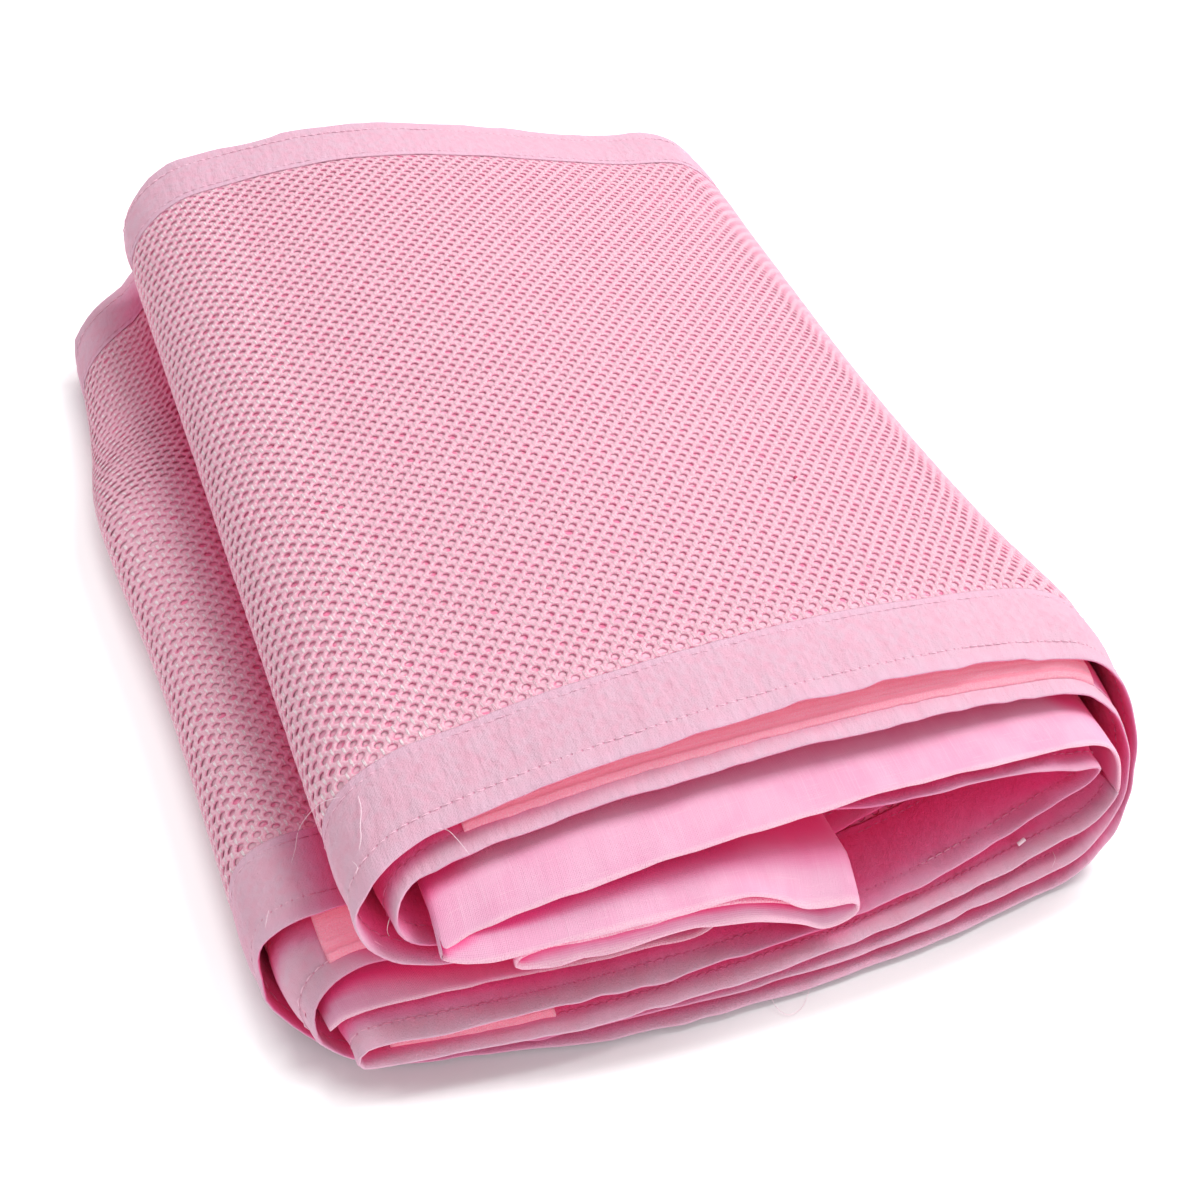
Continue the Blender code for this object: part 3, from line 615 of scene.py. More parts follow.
def cotton_paint():
    p = Paint("plain_cotton", 0.85, 0.15, 0.5)
    edge = p.math("MINIMUM", p.a, p.math("SUBTRACT", STRIP_WIDTH, p.a))
    slub = p.noise(1.0, 2.0, (3.4, 0.07))
    weft = p.noise(1.0, 2.0, (0.08, 2.6))
    blotch = p.noise(0.07, 2.0)
    fuzz = p.noise(3.5, 3.0)
    colour = p.mix(p.span(blotch, 0.3, 0.7), lin(238, 168, 200), lin(240, 180, 208))
    colour = p.mix(p.math("MULTIPLY", p.span(slub, 0.55, 0.75), 0.28), colour, lin(246, 204, 222))
    colour = p.mix(p.math("MULTIPLY", p.span(slub, 0.44, 0.28), 0.12), colour, lin(236, 150, 186))
    colour = p.mix(p.math("MULTIPLY", p.span(weft, 0.62, 0.78), 0.3), colour, lin(250, 206, 220))
    # painted shade: the cotton turns darker and redder deep in the folds
    colour = p.paint_fold_shade(colour, lin(244, 60, 132), 0.18, 0.66, 0.97, 0.9)
    rim = p.math("MULTIPLY", p.span(edge, 1.5, 0.3), p.span(fuzz, 0.3, 0.6))
    colour = p.mix(p.math("MULTIPLY", rim, 0.7), colour, lin(252, 210, 222))
    weave = p.math("ADD", p.math("SINE", p.math("MULTIPLY", p.s, 15.0)), p.math("SINE", p.math("MULTIPLY", p.a, 15.0)))
    height = p.math("ADD", p.math("MULTIPLY", slub, 0.5), p.math("MULTIPLY", weave, 0.12))
    height = p.math("ADD", height, p.math("MULTIPLY", fuzz, 0.35))
    return p.finish(colour, height, 0.0002, 0.8)


def tape_paint():
    p = Paint("loop_tape", 0.9, 0.4, 0.4)
    fuzz = p.noise(2.6, 4.0, rough=0.7)
    rib = p.math("SINE", p.math("MULTIPLY", p.a, 4.2))
    tuft = p.noise(0.7, 3.0)
    colour = p.mix(p.span(fuzz, 0.35, 0.7), lin(255, 162, 186), lin(255, 204, 216))
    colour = p.mix(p.math("MULTIPLY", p.span(tuft, 0.45, 0.75), 0.5), colour, lin(255, 196, 204))
    line = p.math("ABSOLUTE", p.math("SUBTRACT", p.math("ABSOLUTE", p.math("SUBTRACT", p.a, 14.5)), 7.2))
    sewn = p.span(line, 0.9, 0.2)
    colour = p.mix(p.math("MULTIPLY", sewn, 0.4), colour, lin(238, 110, 140))
    # painted shade: the tape turns redder deep in the folds
    colour = p.paint_fold_shade(colour, lin(255, 84, 124), 0.5, 1.0, 0.6, 0.3)
    # painted light: the tape glows faintly, so it reads bright coral in the shade between the layers
    p.shader.inputs["Emission Color"].default_value = lin(255, 136, 164)
    p.shader.inputs["Emission Strength"].default_value = 0.36
    height = p.math("SUBTRACT", p.math("ADD", fuzz, p.math("MULTIPLY", rib, 0.10)), p.math("MULTIPLY", sewn, 0.6))
    return p.finish(colour, height, 0.0008, 1.0)


def speck_paint():
    return Paint("dark_speck", 0.8).finish(lin(196, 66, 108))


def thread_paint(name, colour):
    p = Paint(name, 0.5, 0.2)
    # painted shade: the thread turns darker and redder deep in the folds
    return p.finish(p.paint_fold_shade(colour, lin(216, 84, 132), 0.06, 0.42, 0.95))


net_mat, inner_mat, mesh_mat = net_paint(), inner_paint(), mesh_paint()
binding_mat, cotton_mat, tape_mat = binding_paint(), cotton_paint(), tape_paint()
thread_mat = thread_paint("thread", lin(246, 200, 218))
white_mat = thread_paint("loose_thread", lin(248, 222, 232))


# ---------------------------------------------------------------- the air mesh
NET_DEPTH = 0.85
NET_SIDE = -1.0    # the strip's face that lies outside from left_a round to under_a
SKEW = 0.17        # the knit leans along the strip by this share of the distance across it
NETS = {           # from, to along the strip
    "air_net_left": (s_at("left_a", 44.0), s_at("base_a", 14.0)),
    "air_net_right": (s_at("base_a", 194.0), s_at("top_a", 150.0)),
    "air_net_top": (s_at("top_a", 150.0), s_at("under_a", 30.0)),
}
LOOPY = ((SPANS["left_a"][1] - 8.0, SPANS["base_a"][0]), (SPANS["top_a"][1] - 14.0, SPANS["under_a"][0]))


def fill(a):
    """Half the mesh's thickness at a distance from the front edge: pressed under the bindings, swollen between."""
    e = np.minimum(a, STRIP_WIDTH - a)
    return np.interp(e, [0.0, 3.0, 6.0, 9.0, 12.0, 20.0, 22.6, 25.0, 28.0, 31.0],
                     [0.15, 0.22, 0.25, 0.55, 0.95, 1.20, 0.95, 1.25, 1.80, 2.0])


def lean(s, a):
    return s + SKEW * (a - 150.0)


def warp(s, a):
    """The net's own slight unevenness."""
    return (lean(s, a) + 0.20 * noise(s / 9, a / 9, 3) + 0.25 * noise(s / 47, a / 47, 4),
            a + 0.16 * noise(s / 8, a / 8, 5) + 0.25 * noise(s / 41, a / 41, 6))


def net(name, s0, s1):
    p, q = PITCH_S / 2, PITCH_A / 2
    e, f = (p * p - q * q) / (2 * p), (p * p + q * q) / (2 * p)
    cell = np.array([(f, 0), ((e + f) / 2, q / 2), (e, q), (-e, q), (-(e + f) / 2, q / 2),
                     (-f, 0), (-(e + f) / 2, -q / 2), (-e, -q), (e, -q), ((e + f) / 2, -q / 2)])
    angle = np.arctan2(cell[:, 1], cell[:, 0])
    power, rs, ra = 2.0, 1.14, 0.96
    hole = ((abs(np.cos(angle)) / rs) ** power + (abs(np.sin(angle)) / ra) ** power) ** (-1 / power)
    way = np.stack([np.cos(angle), np.sin(angle)], axis=-1)
    rows = np.arange(int(23.6 / q), int((STRIP_WIDTH - 23.6) / q) + 1)
    cols = np.arange(math.ceil(s0 / p), math.floor(s1 / p) + 1)
    c, r = np.meshgrid(cols, rows, indexing="ij")
    keep = (c + r) % 2 == 0
    centre = np.stack([c[keep] * p, r[keep] * q], axis=-1)
    n = len(centre)
    outer = (centre[:, None] + cell[None]).reshape(-1, 2)
    key = np.round(outer / 0.01).astype(np.int64)
    _, first, back = np.unique(key, axis=0, return_index=True, return_inverse=True)
    shared = outer[first]
    back = back.reshape(n, 10)
    size = 1 + 0.11 * (2 * rng.random((n, 1)) - 1)
    jog = 0.12 * (2 * rng.random((n, 1, 2)) - 1)
    radius = hole[None] * size * (1 + 0.08 * (2 * rng.random((n, 10)) - 1))
    ring_a = centre[:, None] + jog + way[None] * radius[..., None] * 1.15
    ring_b = centre[:, None] + jog + way[None] * radius[..., None] * 0.97
    flat = np.concatenate([shared, ring_a.reshape(-1, 2), ring_b.reshape(-1, 2)])
    depth = np.concatenate([0.06 + 0.10 * noise(shared[:, 0] / 1.7, shared[:, 1] / 1.7, 8),
                            np.full(n * 10, 0.20), np.full(n * 10, 0.62)])
    crest = np.concatenate([np.ones(len(shared)), np.full(n * 10, 0.45), np.zeros(n * 10)])
    tone = np.concatenate([0.5 + 0.5 * noise(shared[:, 0] / 3, shared[:, 1] / 3, 9),
                           np.repeat(rng.random(n), 10), np.repeat(rng.random(n), 10)])
    s, a = warp(flat[:, 0], flat[:, 1])
    full = fill(a)
    high = full - depth * np.clip((full - 0.3) / 1.7, 0.3, 1.0)
    verts = place(s, a, NET_SIDE * high, BOUND_DROOP)
    loops = np.full(len(flat), 0.38)
    for lo, hi in LOOPY:
        loops = np.maximum(loops, 0.38 + 0.62 * ease((s - lo) / 10.0) * ease((hi - s) / 10.0))
    k = np.arange(10)
    k1 = (k + 1) % 10
    base_a, base_b = len(shared), len(shared) + n * 10
    ia = base_a + np.arange(n)[:, None] * 10
    ib = base_b + np.arange(n)[:, None] * 10
    top = np.stack([back[:, k], back[:, k1], ia + k1, ia + k], axis=-1).reshape(-1, 4)
    wall = np.stack([ia + k, ia + k1, ib + k1, ib + k], axis=-1).reshape(-1, 4)
    faces = np.concatenate([top, wall])
    if NET_SIDE < 0:
        faces = faces[:, ::-1]
    obj = build(name, verts, faces, flat * MM, [net_mat], None,
                {"crest": crest, "tone": tone, "loops": loops, "deep": deep_at(s, a, NET_SIDE)})
    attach(obj, "root")
    return obj


nets = [net(name, *ends) for name, ends in NETS.items()]


def mesh_sheet():
    S = np.arange(SEAM_A + 0.8, SEAM_B - 0.8, 3.0)
    e = np.array([3.0, 8, 12, 16, 20, 22.6, 24, 25.5, 27, 29, 31, 36, 46, 60, 80, 105, 130, 150])
    a = np.concatenate([e, STRIP_WIDTH - e[-2::-1]])
    n = len(a)
    across = np.concatenate([a, a[::-1]])
    thin = fill(a) * np.interp(np.minimum(a, STRIP_WIDTH - a), [18.0, 24.0], [0.55, 1.0])   # clear of the bindings' inside
    off = np.tile(np.concatenate([-thin, thin[::-1]]), (len(S), 1))
    flat_s = S[:, None] - SKEW * (across[None] - 150.0)      # where the lean puts the net's own repeat
    covered = np.zeros(flat_s.shape)
    for s0, s1 in NETS.values():
        covered = np.maximum(covered, ease((flat_s - s0) / 4 + 0.2) * ease((s1 - flat_s) / 4 + 0.2))
    covered = np.maximum(covered, ((flat_s > NETS["air_net_right"][0] + 3) & (flat_s < NETS["air_net_top"][1] - 3)).astype(float))
    face = slice(0, n) if NET_SIDE < 0 else slice(n, 2 * n)
    shrink = np.clip(NET_DEPTH * (fill(across[face]) - 0.5) / 1.5, 0.05, NET_DEPTH)
    shrink = np.minimum(shrink, abs(off[0, face]) - 0.03)
    off[:, face] = off[:, face] - NET_SIDE * covered[:, face] * shrink[None]

    def side(i, j):
        on = (j < n - 1) if NET_SIDE < 0 else (j >= n)
        return np.where(on & (covered[i, j] > 0.5), 1, 0)

    deep = deep_at(S[:, None], across, np.concatenate([np.full(n, -1.0), np.full(n, 1.0)]))
    obj = sweep("air_mesh_sheet", S, across, off, BOUND_DROOP, [mesh_mat, inner_mat], side, {"deep": deep})
    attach(obj, "root")
    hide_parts("mesh_panel")
    return obj


sheet = mesh_sheet()


# ---------------------------------------------------------------- bindings
def tape_reach(name):
    """Where along the strip a tape lies."""
    on, x0, x1, less, more = TAPES[name]
    s0, s1 = s_at(on, x0), s_at(on, x1)
    if SPANS[on][2] > 0:
        s0, s1 = s0 - less, s1 + more
    return min(s0, s1), max(s0, s1)


def lip(S, seed):
    """How a bound edge flutters along the strip: up and down, and in and out."""
    up = 0.75 * noise(S / 13, 0.5, seed) + 0.4 * noise(S / 5.1, 0.5, seed + 1)
    out = 0.7 * noise(S / 17, 0.5, seed + 2) + 0.35 * noise(S / 6.3, 0.5, seed + 3)
    crumple = sum(np.exp(-((S - 0.5 * (SPANS[a][1] + SPANS[b][0])) / 20.0) ** 2) for a, b in
                  (("top_a", "under_a"), ("under_b", "top_b"), ("base_b", "left_b"), ("left_a", "base_a")))
    return up * (1 + 0.9 * crumple), out * (1 + 1.3 * crumple) + 0.9 * crumple * noise(S / 7.7, 0.5, seed + 3)


def half_thick(a):
    """Half the binding's thickness from its free edge: a thin flap, the stitch line, then swollen over the mesh."""
    x = [0.0, 0.25, 0.8, 2.0, 4.0, 5.6, 7.0, 9.0, 12.0, 15.5, 19.0, 21.6, 22.6, 23.6, 25.0]
    y = [0.20, 0.38, 0.52, 0.64, 0.72, 0.70, 0.92, 1.32, 1.72, 1.90, 1.90, 1.76, 1.58, 1.60, 1.62]
    return np.interp(a, x, y)


def binding(name, node, front, spacing, seed):
    S = np.arange(SEAM_A, SEAM_B, spacing)
    e = np.array([25.0, 24.6, 23.9, 23.2, 22.6, 22.0, 20.6, 18.4, 16.0, 13.6, 11.4, 9.6, 8.0, 7.0, 6.3, 5.9, 5.6, 5.2,
                  4.6, 3.7, 2.7, 1.8, 1.0, 0.4, 0.1])
    inner = np.array([24.8, 20.0, 14.0, 9.0, 6.0, 3.0, 1.4])
    wall = 0.5
    ring_a = np.concatenate([e, [-0.02], e[::-1], inner, [1.1], inner[::-1]])
    n_e = len(e)
    sign = np.concatenate([np.full(n_e, -1.0), [0.0], np.full(n_e, 1.0), np.full(len(inner), 1.0), [0.0], np.full(len(inner), -1.0)])
    base = np.where(np.arange(len(ring_a)) <= 2 * n_e, half_thick(ring_a), np.maximum(half_thick(ring_a) - wall, 0.12))
    up, out = lip(S, seed)
    a = np.tile(ring_a, (len(S), 1))
    near = np.clip(1 - a / 12.0, 0, 1) ** 2
    edge = np.clip(1 - a / 5.0, 0, 1)
    # puckers between the stitches and the edge, and softer ones over the mesh
    pucker = (noise(S[:, None] / 2.3, 0.5, seed + 4) * np.exp(-((a - 3.4) / 2.2) ** 2) * 0.20
              + noise(S[:, None] / 3.6, a / 9, seed + 5) * np.exp(-((a - 9.5) / 3.6) ** 2) * 0.30
              + noise(S[:, None] / 5.5, a / 7, seed + 6) * 0.14
              + noise(S[:, None] / 3.0, a / 30, seed + 8) * np.exp(-((a - 22.6) / 2.2) ** 2) * 0.16)
    lo, hi = SPANS["low_d"][0] + 90.0, SPANS["cavity_b"][1] - 15.0
    cavity = (ease((S - lo) / 30) * ease((hi - S) / 20))[:, None]
    pucker = pucker + cavity * 0.45 * noise(S[:, None] / 4.6, a / 26, seed + 9) * ease(a / 5) * ease((27 - a) / 6)
    if front:
        for tape_name in TAPES:
            lo, hi = tape_reach(tape_name)
            calm = (ease((S - lo) / 4 + 1) * ease((hi - S) / 4 + 1))[:, None] * ease((a - 3.0) / 3.0) * ease((26.0 - a) / 3.0)
            pucker = pucker * (1 - 0.85 * calm)
    outer = np.arange(len(ring_a)) <= 2 * n_e
    least = np.where(outer[None], fill(a) + 0.16 * np.clip(a, 0, 1), 0.1)
    off = sign * np.maximum(base + pucker * np.clip(a / 1.5, 0, 1), least) + up[:, None] * near
    across = a - out[:, None] * edge
    wob = 0.45 * noise(S[:, None] / 14, 0.3, seed + 7) * ease((a - 18) / 7)
    across = across + wob
    across = np.where(across < -0.9, -0.9, across)
    if not front:
        across = STRIP_WIDTH - across
    # the two ends of the C are closed by the ring itself, so its caps are made from matching halves
    half = len(ring_a) // 2
    roll = 2 * n_e + 1                     # start where the wall turns inward, so that opposite points pair up
    order = np.concatenate([np.arange(n_e, 2 * n_e + 1), np.arange(2 * n_e + 1, len(ring_a)), np.arange(0, n_e)])
    # painted shade: the binding in the cavity gets extra depth, so its colour is darkened more there
    obj = ribbon(name, S, across, off, binding_mat, np.minimum(1.0, deep_at(S[:, None], across, sign) + (cavity * 0.16 + 0 * across).ravel()))
    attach(obj, "root")
    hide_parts(node)
    return obj


def ribbon(name, S, across, off, mat, deep):
    """Sweeps a C-shaped ring and closes its two ends with one polygon each, as triangles."""
    m, n = across.shape
    verts = place(S[:, None], across, off, BOUND_DROOP).reshape(-1, 3)
    i, j = np.meshgrid(np.arange(m - 1), np.arange(n), indexing="ij")
    a, b = i * n + j, i * n + (j + 1) % n
    faces = np.stack([a, b, b + n, a + n], axis=-1).reshape(-1, 4)
    # caps: the outer line is split evenly against the inner one
    outer_n = n - 15
    o = np.arange(outer_n)
    k = np.arange(n - 1, outer_n - 1, -1)            # the inner line, walked the same way as the outer one
    near = np.clip(np.round(np.linspace(0, len(k) - 1, outer_n)).astype(int), 0, len(k) - 1)
    caps = []
    for t in range(outer_n - 1):
        p, q = k[near[t]], k[near[t + 1]]
        caps.append((o[t], p, q, o[t + 1]) if p != q else (o[t], p, o[t + 1], o[t + 1]))
    tri = [c for c in caps if c[2] == c[3]]
    quad = [c for c in caps if c[2] != c[3]]
    extra = np.array(quad, int).reshape(-1, 4)
    tri3 = np.array([c[:3] for c in tri], int).reshape(-1, 3)
    faces = np.concatenate([faces, extra, extra[:, ::-1] + (m - 1) * n])
    tris = np.concatenate([tri3, tri3[:, ::-1] + (m - 1) * n])
    allf = np.concatenate([faces[:, [0, 1, 2]], faces[:, [0, 2, 3]], tris])
    v = verts[allf]
    if np.einsum("ij,ij->i", v[:, 0], np.cross(v[:, 1], v[:, 2])).sum() < 0:
        allf = allf[:, ::-1]
    uv = np.stack([np.broadcast_to(S[:, None], across.shape), across], axis=-1).reshape(-1, 2) * MM
    return build(name, verts, allf, uv, [mat], None, {"deep": deep})


front = binding("binding_front_cloth", "binding_front", True, 2.2, 12)
back = binding("binding_back_cloth", "binding_back", False, 3.8, 24)


# ---------------------------------------------------------------- cotton end panels
def cotton(name, node, s0, s1, seed):
    S = np.concatenate([[s0, s0 + 0.3, s0 + 1.0], np.arange(s0 + 2.2, s1 - 2.2, 2.0), [s1 - 1.0, s1 - 0.3, s1]])
    e = np.array([0, 0.25, 0.8, 1.8, 3.2, 5, 7, 9, 11, 14, 18, 24, 32, 44, 60, 85, 115, 150.0])
    a = np.concatenate([e, STRIP_WIDTH - e[-2::-1]])
    n = len(a)
    ends = np.minimum(np.minimum(S - s0, s1 - S) / 1.0, 1.0)
    h = np.interp(np.minimum(a, STRIP_WIDTH - a), [0, 0.25, 0.8, 1.8, 9, 11, 20], [0.12, 0.4, 0.62, 0.7, 0.6, 0.5, 0.45])
    A = np.tile(np.concatenate([a, a[::-1]]), (len(S), 1))
    thick = np.concatenate([-h, h[::-1]])[None] * (0.25 + 0.75 * ends[:, None])
    near = np.clip(1 - np.minimum(A, STRIP_WIDTH - A) / 26.0, 0, 1)
    wave = (0.55 * noise(S[:, None] / 21, A / 60, seed) + 0.25 * noise(S[:, None] / 7.5, A / 25, seed + 1)) * (0.25 + 0.75 * near)
    hem = 0.10 * noise(S[:, None] / 2.6, 0.5, seed + 2) * np.exp(-((np.minimum(A, STRIP_WIDTH - A) - 7.5) / 3.0) ** 2)
    out = (0.7 * noise(S / 19, 0.5, seed + 3) + 0.3 * noise(S / 6.1, 0.5, seed + 4))[:, None]
    across = A - out * np.clip(1 - A / 6.0, 0, 1) + out * np.clip(1 - (STRIP_WIDTH - A) / 6.0, 0, 1)
    deep = deep_at(S[:, None], across, np.concatenate([np.full(n, -1.0), np.full(n, 1.0)]))
    # the painted shade is halved on the outer face over top_c
    lo, hi, _ = SPANS["top_c"]
    on_top = (ease((S - lo + 6) / 12) * ease((hi + 6 - S) / 12))[:, None] * np.concatenate([np.zeros(n), np.ones(n)])[None]
    deep = deep * (1 - 0.5 * on_top.ravel())
    obj = sweep(name, S, across, thick + wave + hem, COTTON_DROOP, [cotton_mat], None, {"deep": deep})
    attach(obj, "root")
    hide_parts(node)
    return obj


panel_a = cotton("end_panel_a_cloth", "end_panel_a", 0.0, SEAM_A - 0.3, 36)
panel_b = cotton("end_panel_b_cloth", "end_panel_b", SEAM_B + 0.3, TOTAL - 0.5, 44)


# ---------------------------------------------------------------- loop tapes
def tape(name, seed):
    on, run = TAPES[name][0], SPANS[TAPES[name][0]][2]
    lo, hi = tape_reach(name)
    S = np.arange(lo, hi, 1.2)
    e = np.linspace(0, 9.5, 13)
    a = 5.0 + np.concatenate([e, 19.0 - e[-2::-1]])
    n = len(a)
    rim = np.minimum(a - 5.0, 24.0 - a)
    under = half_thick(a)
    top = under + 0.35 + 0.75 * np.interp(rim, [0, 0.7, 1.6], [0.35, 0.9, 1.0])
    base = under - 0.25
    A = np.tile(np.concatenate([a, a[::-1]]), (len(S), 1))
    fuzz = 0.16 * noise(S[:, None] / 1.1, A / 1.1, seed) + 0.12 * noise(S[:, None] / 3, A / 3, seed + 1)
    off = np.tile(np.concatenate([base, top[::-1]]), (len(S), 1))
    off = off + np.concatenate([np.zeros(n), np.ones(n)])[None] * fuzz
    up, _ = lip(S, 12)
    off = off + up[:, None] * np.clip(1 - A / 12.0, 0, 1) ** 2
    across = A + 0.25 * noise(S[:, None] / 4, 0.5, seed + 2)
    deep = deep_at(S[:, None], across, 1.0 if run > 0 else -1.0)
    obj = sweep(name + "_loops", S, across, off * (1.0 if run > 0 else -1.0), BOUND_DROOP, [tape_mat], None, {"deep": deep})
    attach(obj, "root")
    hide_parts(name)
    return obj, (hi - lo) * MM


tapes = [tape(name, 50 + 3 * i) for i, name in enumerate(TAPES)]


# ---------------------------------------------------------------- stitches
def speck():
    """The one dark fibre caught in the top net."""
    verts, faces = [], []
    tube([(53.3, -49.9, 74.3), (54.0, -49.4, 74.6), (54.6, -49.2, 74.2)], 0.9, verts, faces)
    v, f = np.concatenate(verts), np.concatenate(faces)
    obj = build("caught_fibre", v, f, np.zeros((len(v), 2)), [speck_paint()])
    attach(obj, "root")
    return obj


def stitches(name, lines):
    """Short thread capsules along (s0, s1, across, off, droop) lines, all in one mesh."""
    verts, faces, deeps = [], [], []
    ring = np.array([(math.cos(t), math.sin(t)) for t in (0.0, math.pi / 2, math.pi, 1.5 * math.pi)])
    for s0, s1, across, off, radius in lines:
        mid = np.arange(math.ceil(s0 / STITCH_PITCH) * STITCH_PITCH, s1, STITCH_PITCH)  # from needle hole to needle hole
        k = len(mid)
        if not k:
            continue
        jitter = 0.12 * (2 * rng.random(k) - 1)
        ends = np.array([-0.47, 0.0, 0.47])[None] * (STITCH_PITCH - 0.5)
        lift = np.array([-0.12, 0.12, -0.12])
        s = mid[:, None] + ends
        c = place(s, across + jitter[:, None], np.sign(off) * (abs(off) + lift[None]), BOUND_DROOP)
        up = place(s, across + jitter[:, None], np.sign(off) * (abs(off) + 1.0), BOUND_DROOP) - c
        up /= np.maximum(np.linalg.norm(up, axis=-1, keepdims=True), 1e-9)
        along = np.broadcast_to((c[:, 2:3] - c[:, 0:1]), c.shape)
        along = along / np.maximum(np.linalg.norm(along, axis=-1, keepdims=True), 1e-9)
        # the thread's depth in the folds, for its painted shade
        deeps.append(np.repeat(deep_at(s, across, np.sign(off)), 4))
        side = np.cross(along, up)
        size = np.array([0.55, 1.0, 0.55])[None, :, None, None] * radius * MM
        pts = c[:, :, None] + size * (ring[None, None, :, 0:1] * side[:, :, None] + ring[None, None, :, 1:2] * up[:, :, None])
        start = sum(len(v) for v in verts)
        verts.append(pts.reshape(-1, 3))
        base = start + np.arange(k)[:, None] * 12
        j = np.arange(4)
        j1 = (j + 1) % 4
        for level in (0, 4):
            faces.append(np.stack([base + level + j, base + level + j1, base + level + 4 + j1, base + level + 4 + j], -1).reshape(-1, 4))
        faces.append(np.stack([base[:, 0], base[:, 0] + 3, base[:, 0] + 2, base[:, 0] + 1], -1))
        faces.append(np.stack([base[:, 0] + 8, base[:, 0] + 9, base[:, 0] + 10, base[:, 0] + 11], -1))
    v, f = np.concatenate(verts), np.concatenate(faces)
    obj = build(name, v, f, np.zeros((len(v), 2)), [thread_mat], None, {"deep": np.concatenate(deeps)})
    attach(obj, "root")
    return obj


def stitch_lines(front_edge):
    lines = []
    for line, lift in ((STITCH_NEAR, 0.74), (STITCH_SEAM, 1.62)):
        for side in (1.0, -1.0):
            if side > 0 and not front_edge:
                continue
            across = line if front_edge else STRIP_WIDTH - line
            lines.append((SEAM_A + 2, SEAM_B - 2, across, side * lift, 0.21 if line == STITCH_NEAR else 0.15))
    return lines


stitch_front = stitches("stitches_front", stitch_lines(True))
stitch_back = stitches("stitches_back", stitch_lines(False))


# ---------------------------------------------------------------- loose threads and the bartack
THREADS = (        # thickness in mm, then points in the frame, mm
    (0.24, (-100.2, -120.1, 60.4), (-100.7, -124.6, 60.6), (-102.0, -128.5, 59.6), (-102.7, -131.7, 58.8), (-103.8, -134.0, 57.3)),
    (0.15, (-103.8, -117.8, 58.2), (-108.0, -116.5, 56.0), (-110.0, -111.5, 46.0), (-112.0, -109.0, 37.0), (-113.7, -112.1, 33.4),
     (-115.6, -115.6, 32.8)),
    (0.18, (-85.4, -137.0, 63.0), (-82.8, -137.0, 61.4), (-81.2, -139.0, 60.2), (-80.2, -141.0, 59.4), (-79.0, -143.0, 58.0)),
    (0.15, (-99.3, -146.4, 45.4), (-100.1, -147.4, 42.9), (-99.8, -147.0, 39.6), (-98.9, -146.4, 36.4)),
    (0.17, (-123.8, -125.9, 30.1), (-124.8, -128.0, 29.8), (-125.8, -130.0, 28.6)),
    (0.13, (1.4, -172.6, 2.4), (2.2, -175.0, 0.9), (3.8, -177.4, 0.3), (6.4, -178.0, 0.3), (10.2, -176.4, 0.4), (13.8, -172.6, 1.6)),
    (0.13, (100.4, -157.8, 11.6), (99.6, -160.4, 11.6), (97.2, -162.6, 11.0)),
    (0.15, (-105.8, -135.3, 55.6), (-105.2, -137.6, 55.9), (-106.1, -139.4, 55.0)),
)
BARTACK = ((86.9, -156.1, 17.75), (89.7, -155.2, 18.0), 1.5)   # its two ends and its width, mm


def tube(points, size, verts, faces, sides=5):
    """A thin tube along a smooth line through the points."""
    p = np.array(points, float)
    n = len(p)
    q = np.concatenate([[2 * p[0] - p[1]], p, [2 * p[-1] - p[-2]]])
    line = []
    for i in range(n - 1):
        for t in np.linspace(0, 1, 6, endpoint=(i == n - 2)):
            a, b, c, d = q[i], q[i + 1], q[i + 2], q[i + 3]
            line.append(0.5 * (2 * b + (c - a) * t + (2 * a - 5 * b + 4 * c - d) * t * t + (3 * b - a - 3 * c + d) * t**3))
    line = np.array(line)
    way = np.gradient(line, axis=0)
    way /= np.linalg.norm(way, axis=1, keepdims=True)
    side = np.cross(way, np.array([0.31, 0.17, 0.93]))
    side /= np.linalg.norm(side, axis=1, keepdims=True)
    other = np.cross(way, side)
    start = sum(len(v) for v in verts)
    turn = 2 * math.pi * np.arange(sides) / sides
    taper = np.minimum(1.0, 0.35 + np.minimum(np.arange(len(line)), np.arange(len(line))[::-1]) * 0.35)
    ring = (line[:, None] + size / 2 * taper[:, None, None]
            * (np.cos(turn)[None, :, None] * side[:, None] + np.sin(turn)[None, :, None] * other[:, None]))
    verts.append(ring.reshape(-1, 3) * MM)
    i, j = np.meshgrid(np.arange(len(line) - 1), np.arange(sides), indexing="ij")
    a, b = start + i * sides + j, start + i * sides + (j + 1) % sides
    quads = np.stack([a, b, b + sides, a + sides], axis=-1).reshape(-1, 4)
    faces.append(np.concatenate([quads[:, [0, 1, 2]], quads[:, [0, 2, 3]]]))
    last = start + (len(line) - 1) * sides
    faces.append(np.array([(start, start + k + 1, start + k) for k in range(1, sides - 1)]
                          + [(last, last + k, last + k + 1) for k in range(1, sides - 1)]))


def threads():
    verts, faces = [], []
    for size, *points in THREADS:
        tube(points, size, verts, faces)
    a, b, wide = np.array(BARTACK[0]), np.array(BARTACK[1]), BARTACK[2]
    across = np.cross((b - a) / np.linalg.norm(b - a), np.array([-0.35, -0.63, 0.69]))
    for k in range(15):
        c = a + (b - a) * k / 14
        lean_by = (b - a) / 14 * 0.5
        tube([c - across * wide / 2, c + lean_by * 0.5 + np.array([-0.1, -0.18, 0.2]), c + across * wide / 2 + lean_by], 0.26, verts, faces)
    v, f = np.concatenate(verts), np.concatenate(faces)
    obj = build("loose_threads", v, f, np.zeros((len(v), 2)), [white_mat])
    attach(obj, "root")
    return obj


loose = threads()
fibre = speck()

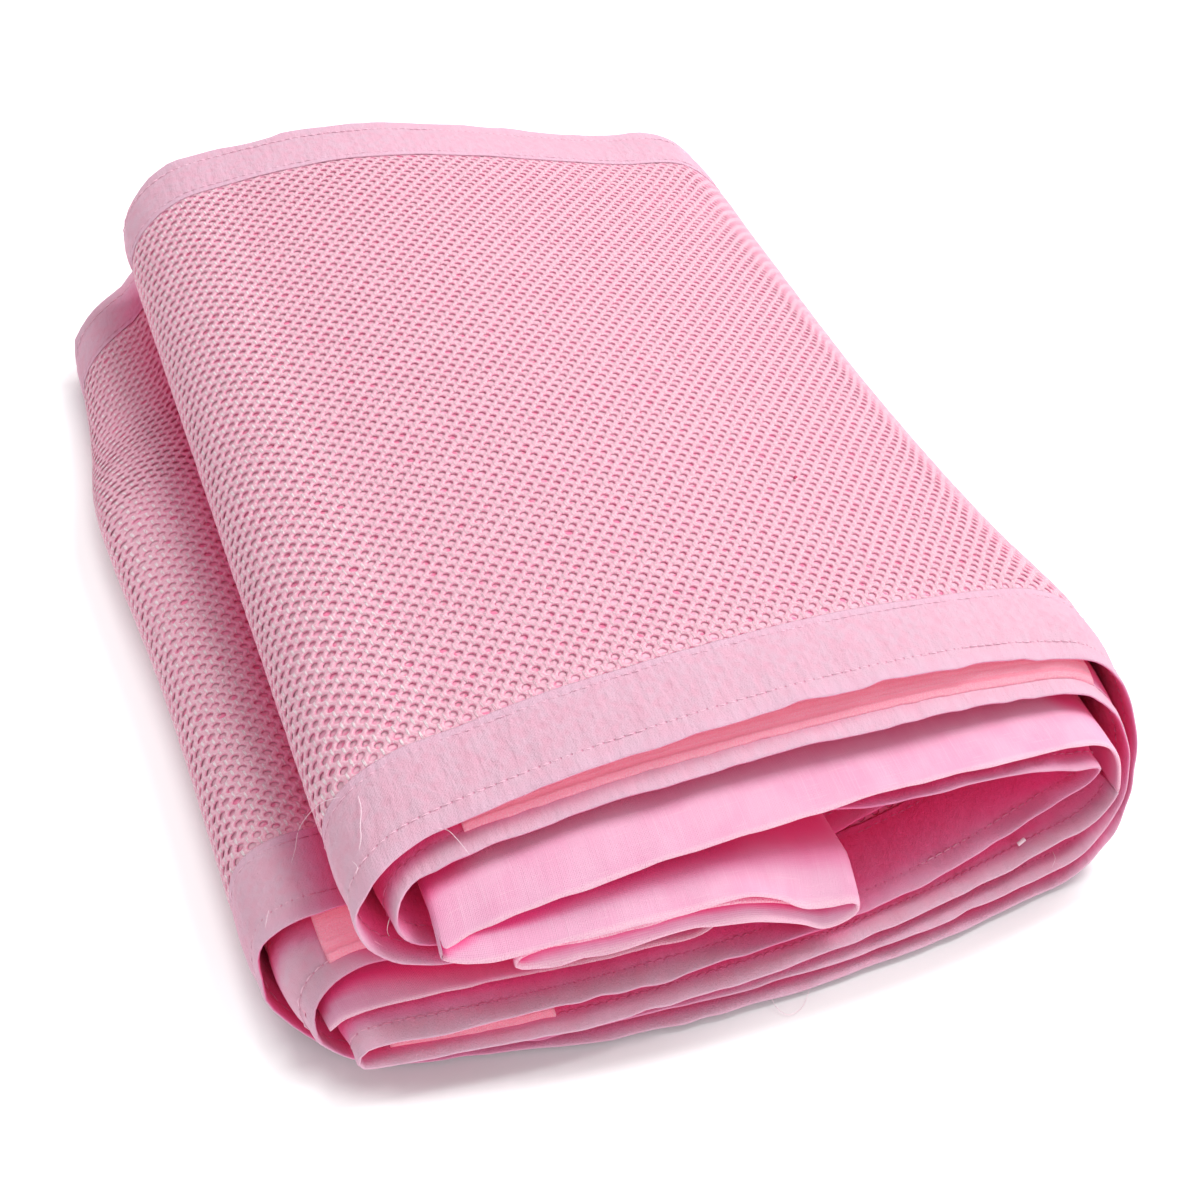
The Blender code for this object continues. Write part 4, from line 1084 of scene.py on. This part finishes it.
# ---------------------------------------------------------------- camera
EYE = Vector((-0.17715, -0.35995, 0.3739))
right, up, forward = Vector((0.920, -0.369, 0.131)), Vector((0.171, 0.679, 0.714)), Vector((0.353, 0.634, -0.688))
forward.normalize()
right = (right - forward * right.dot(forward)).normalized()
up = right.cross(forward)
cam = bpy.data.objects.new("camera", bpy.data.cameras.new("camera"))
bpy.context.scene.collection.objects.link(cam)
cam.matrix_world = Matrix(((right.x, up.x, -forward.x, EYE.x), (right.y, up.y, -forward.y, EYE.y),
                           (right.z, up.z, -forward.z, EYE.z), (0, 0, 0, 1)))
cam.data.lens, cam.data.sensor_width = 48.54, 36.0
cam.data.clip_start, cam.data.clip_end = 0.01, 20.0
bpy.context.scene.camera = cam

# ---------------------------------------------------------------- floor and light
def make_floor():
    """A plain white floor that glows more with distance from the pack: painted light lifts the open floor to white,
    and the narrow shadow beside the pack is partly cast by the lamps and partly painted by the missing glow.
    """
    near = np.concatenate([[-6.0, -1.0, -0.4], np.linspace(-0.26, 0.26, 69), [0.4, 1.0, 6.0]])
    x, y = np.meshgrid(near, near, indexing="ij")
    verts = np.stack([x, y, np.full_like(x, -0.0003)], axis=-1).reshape(-1, 3)
    n = len(near)
    i, j = np.meshgrid(np.arange(n - 1), np.arange(n - 1), indexing="ij")
    quads = np.stack([i * n + j, (i + 1) * n + j, (i + 1) * n + j + 1, i * n + j + 1], axis=-1).reshape(-1, 4)
    S = np.arange(0.0, TOTAL, 4.0)
    s, a = np.meshgrid(S, np.linspace(0, STRIP_WIDTH, 41), indexing="ij")
    p = place(s, a, 0.0, BOUND_DROOP)
    m, k = s.shape
    u, v = np.meshgrid(np.arange(m - 1), np.arange(k - 1), indexing="ij")
    q = np.stack([u * k + v, u * k + v + 1, (u + 1) * k + v + 1, (u + 1) * k + v], axis=-1).reshape(-1, 4)
    tree = BVHTree.FromPolygons(p.reshape(-1, 3).tolist(), q.tolist())
    away = np.array([tree.find_nearest(w, 0.06)[3] or 0.06 if abs(w[0]) < 0.3 and abs(w[1]) < 0.3 else 0.06
                     for w in verts.tolist()])
    mat = bpy.data.materials.new("floor")
    mat.use_nodes = True
    tree_nodes, links = mat.node_tree.nodes, mat.node_tree.links
    shader = tree_nodes["Principled BSDF"]
    shader.inputs["Base Color"].default_value = (0.86, 0.85, 0.86, 1)
    shader.inputs["Roughness"].default_value = 0.9
    shader.inputs["Specular IOR Level"].default_value = 0.1
    # painted light and shadow: no glow within a few millimetres of the pack, full glow beyond
    shader.inputs["Emission Color"].default_value = (1.0, 1.0, 1.0, 1)
    far = tree_nodes.new("ShaderNodeAttribute")
    far.attribute_name = "away"
    glow = tree_nodes.new("ShaderNodeMapRange")
    glow.interpolation_type = "SMOOTHSTEP"
    for socket, value in ((1, 0.005), (2, 0.0128), (3, 0.0), (4, 0.5)):
        glow.inputs[socket].default_value = value
    links.new(far.outputs["Fac"], glow.inputs[0])
    links.new(glow.outputs[0], shader.inputs["Emission Strength"])
    obj = build("floor", verts, quads, verts[:, :2], [mat], None, {"away": away})
    return obj


floor = make_floor()

world = bpy.data.worlds.new("world")
world.use_nodes = True
world.node_tree.nodes["Background"].inputs[0].default_value = (1.0, 0.99, 0.99, 1)
world.node_tree.nodes["Background"].inputs[1].default_value = 0.58
bpy.context.scene.world = world


def lamp(name, at, aim, size, power):
    data = bpy.data.lights.new(name, "AREA")
    data.shape, data.size, data.energy = "DISK", size, power
    obj = bpy.data.objects.new(name, data)
    obj.location = at
    obj.rotation_euler = (Vector(aim) - Vector(at)).to_track_quat("-Z", "Y").to_euler()
    bpy.context.scene.collection.objects.link(obj)
    return obj


lamp("key", (1.05, 0.45, 1.8), (0.0, 0.0, 0.03), 1.1, 36.5)
lamp("front", (0.55, -1.6, 0.85), (0.05, -0.1, 0.04), 1.2, 6.0)
bpy.context.scene.view_settings.view_transform = "Standard"
bpy.context.scene.view_settings.look = "None"
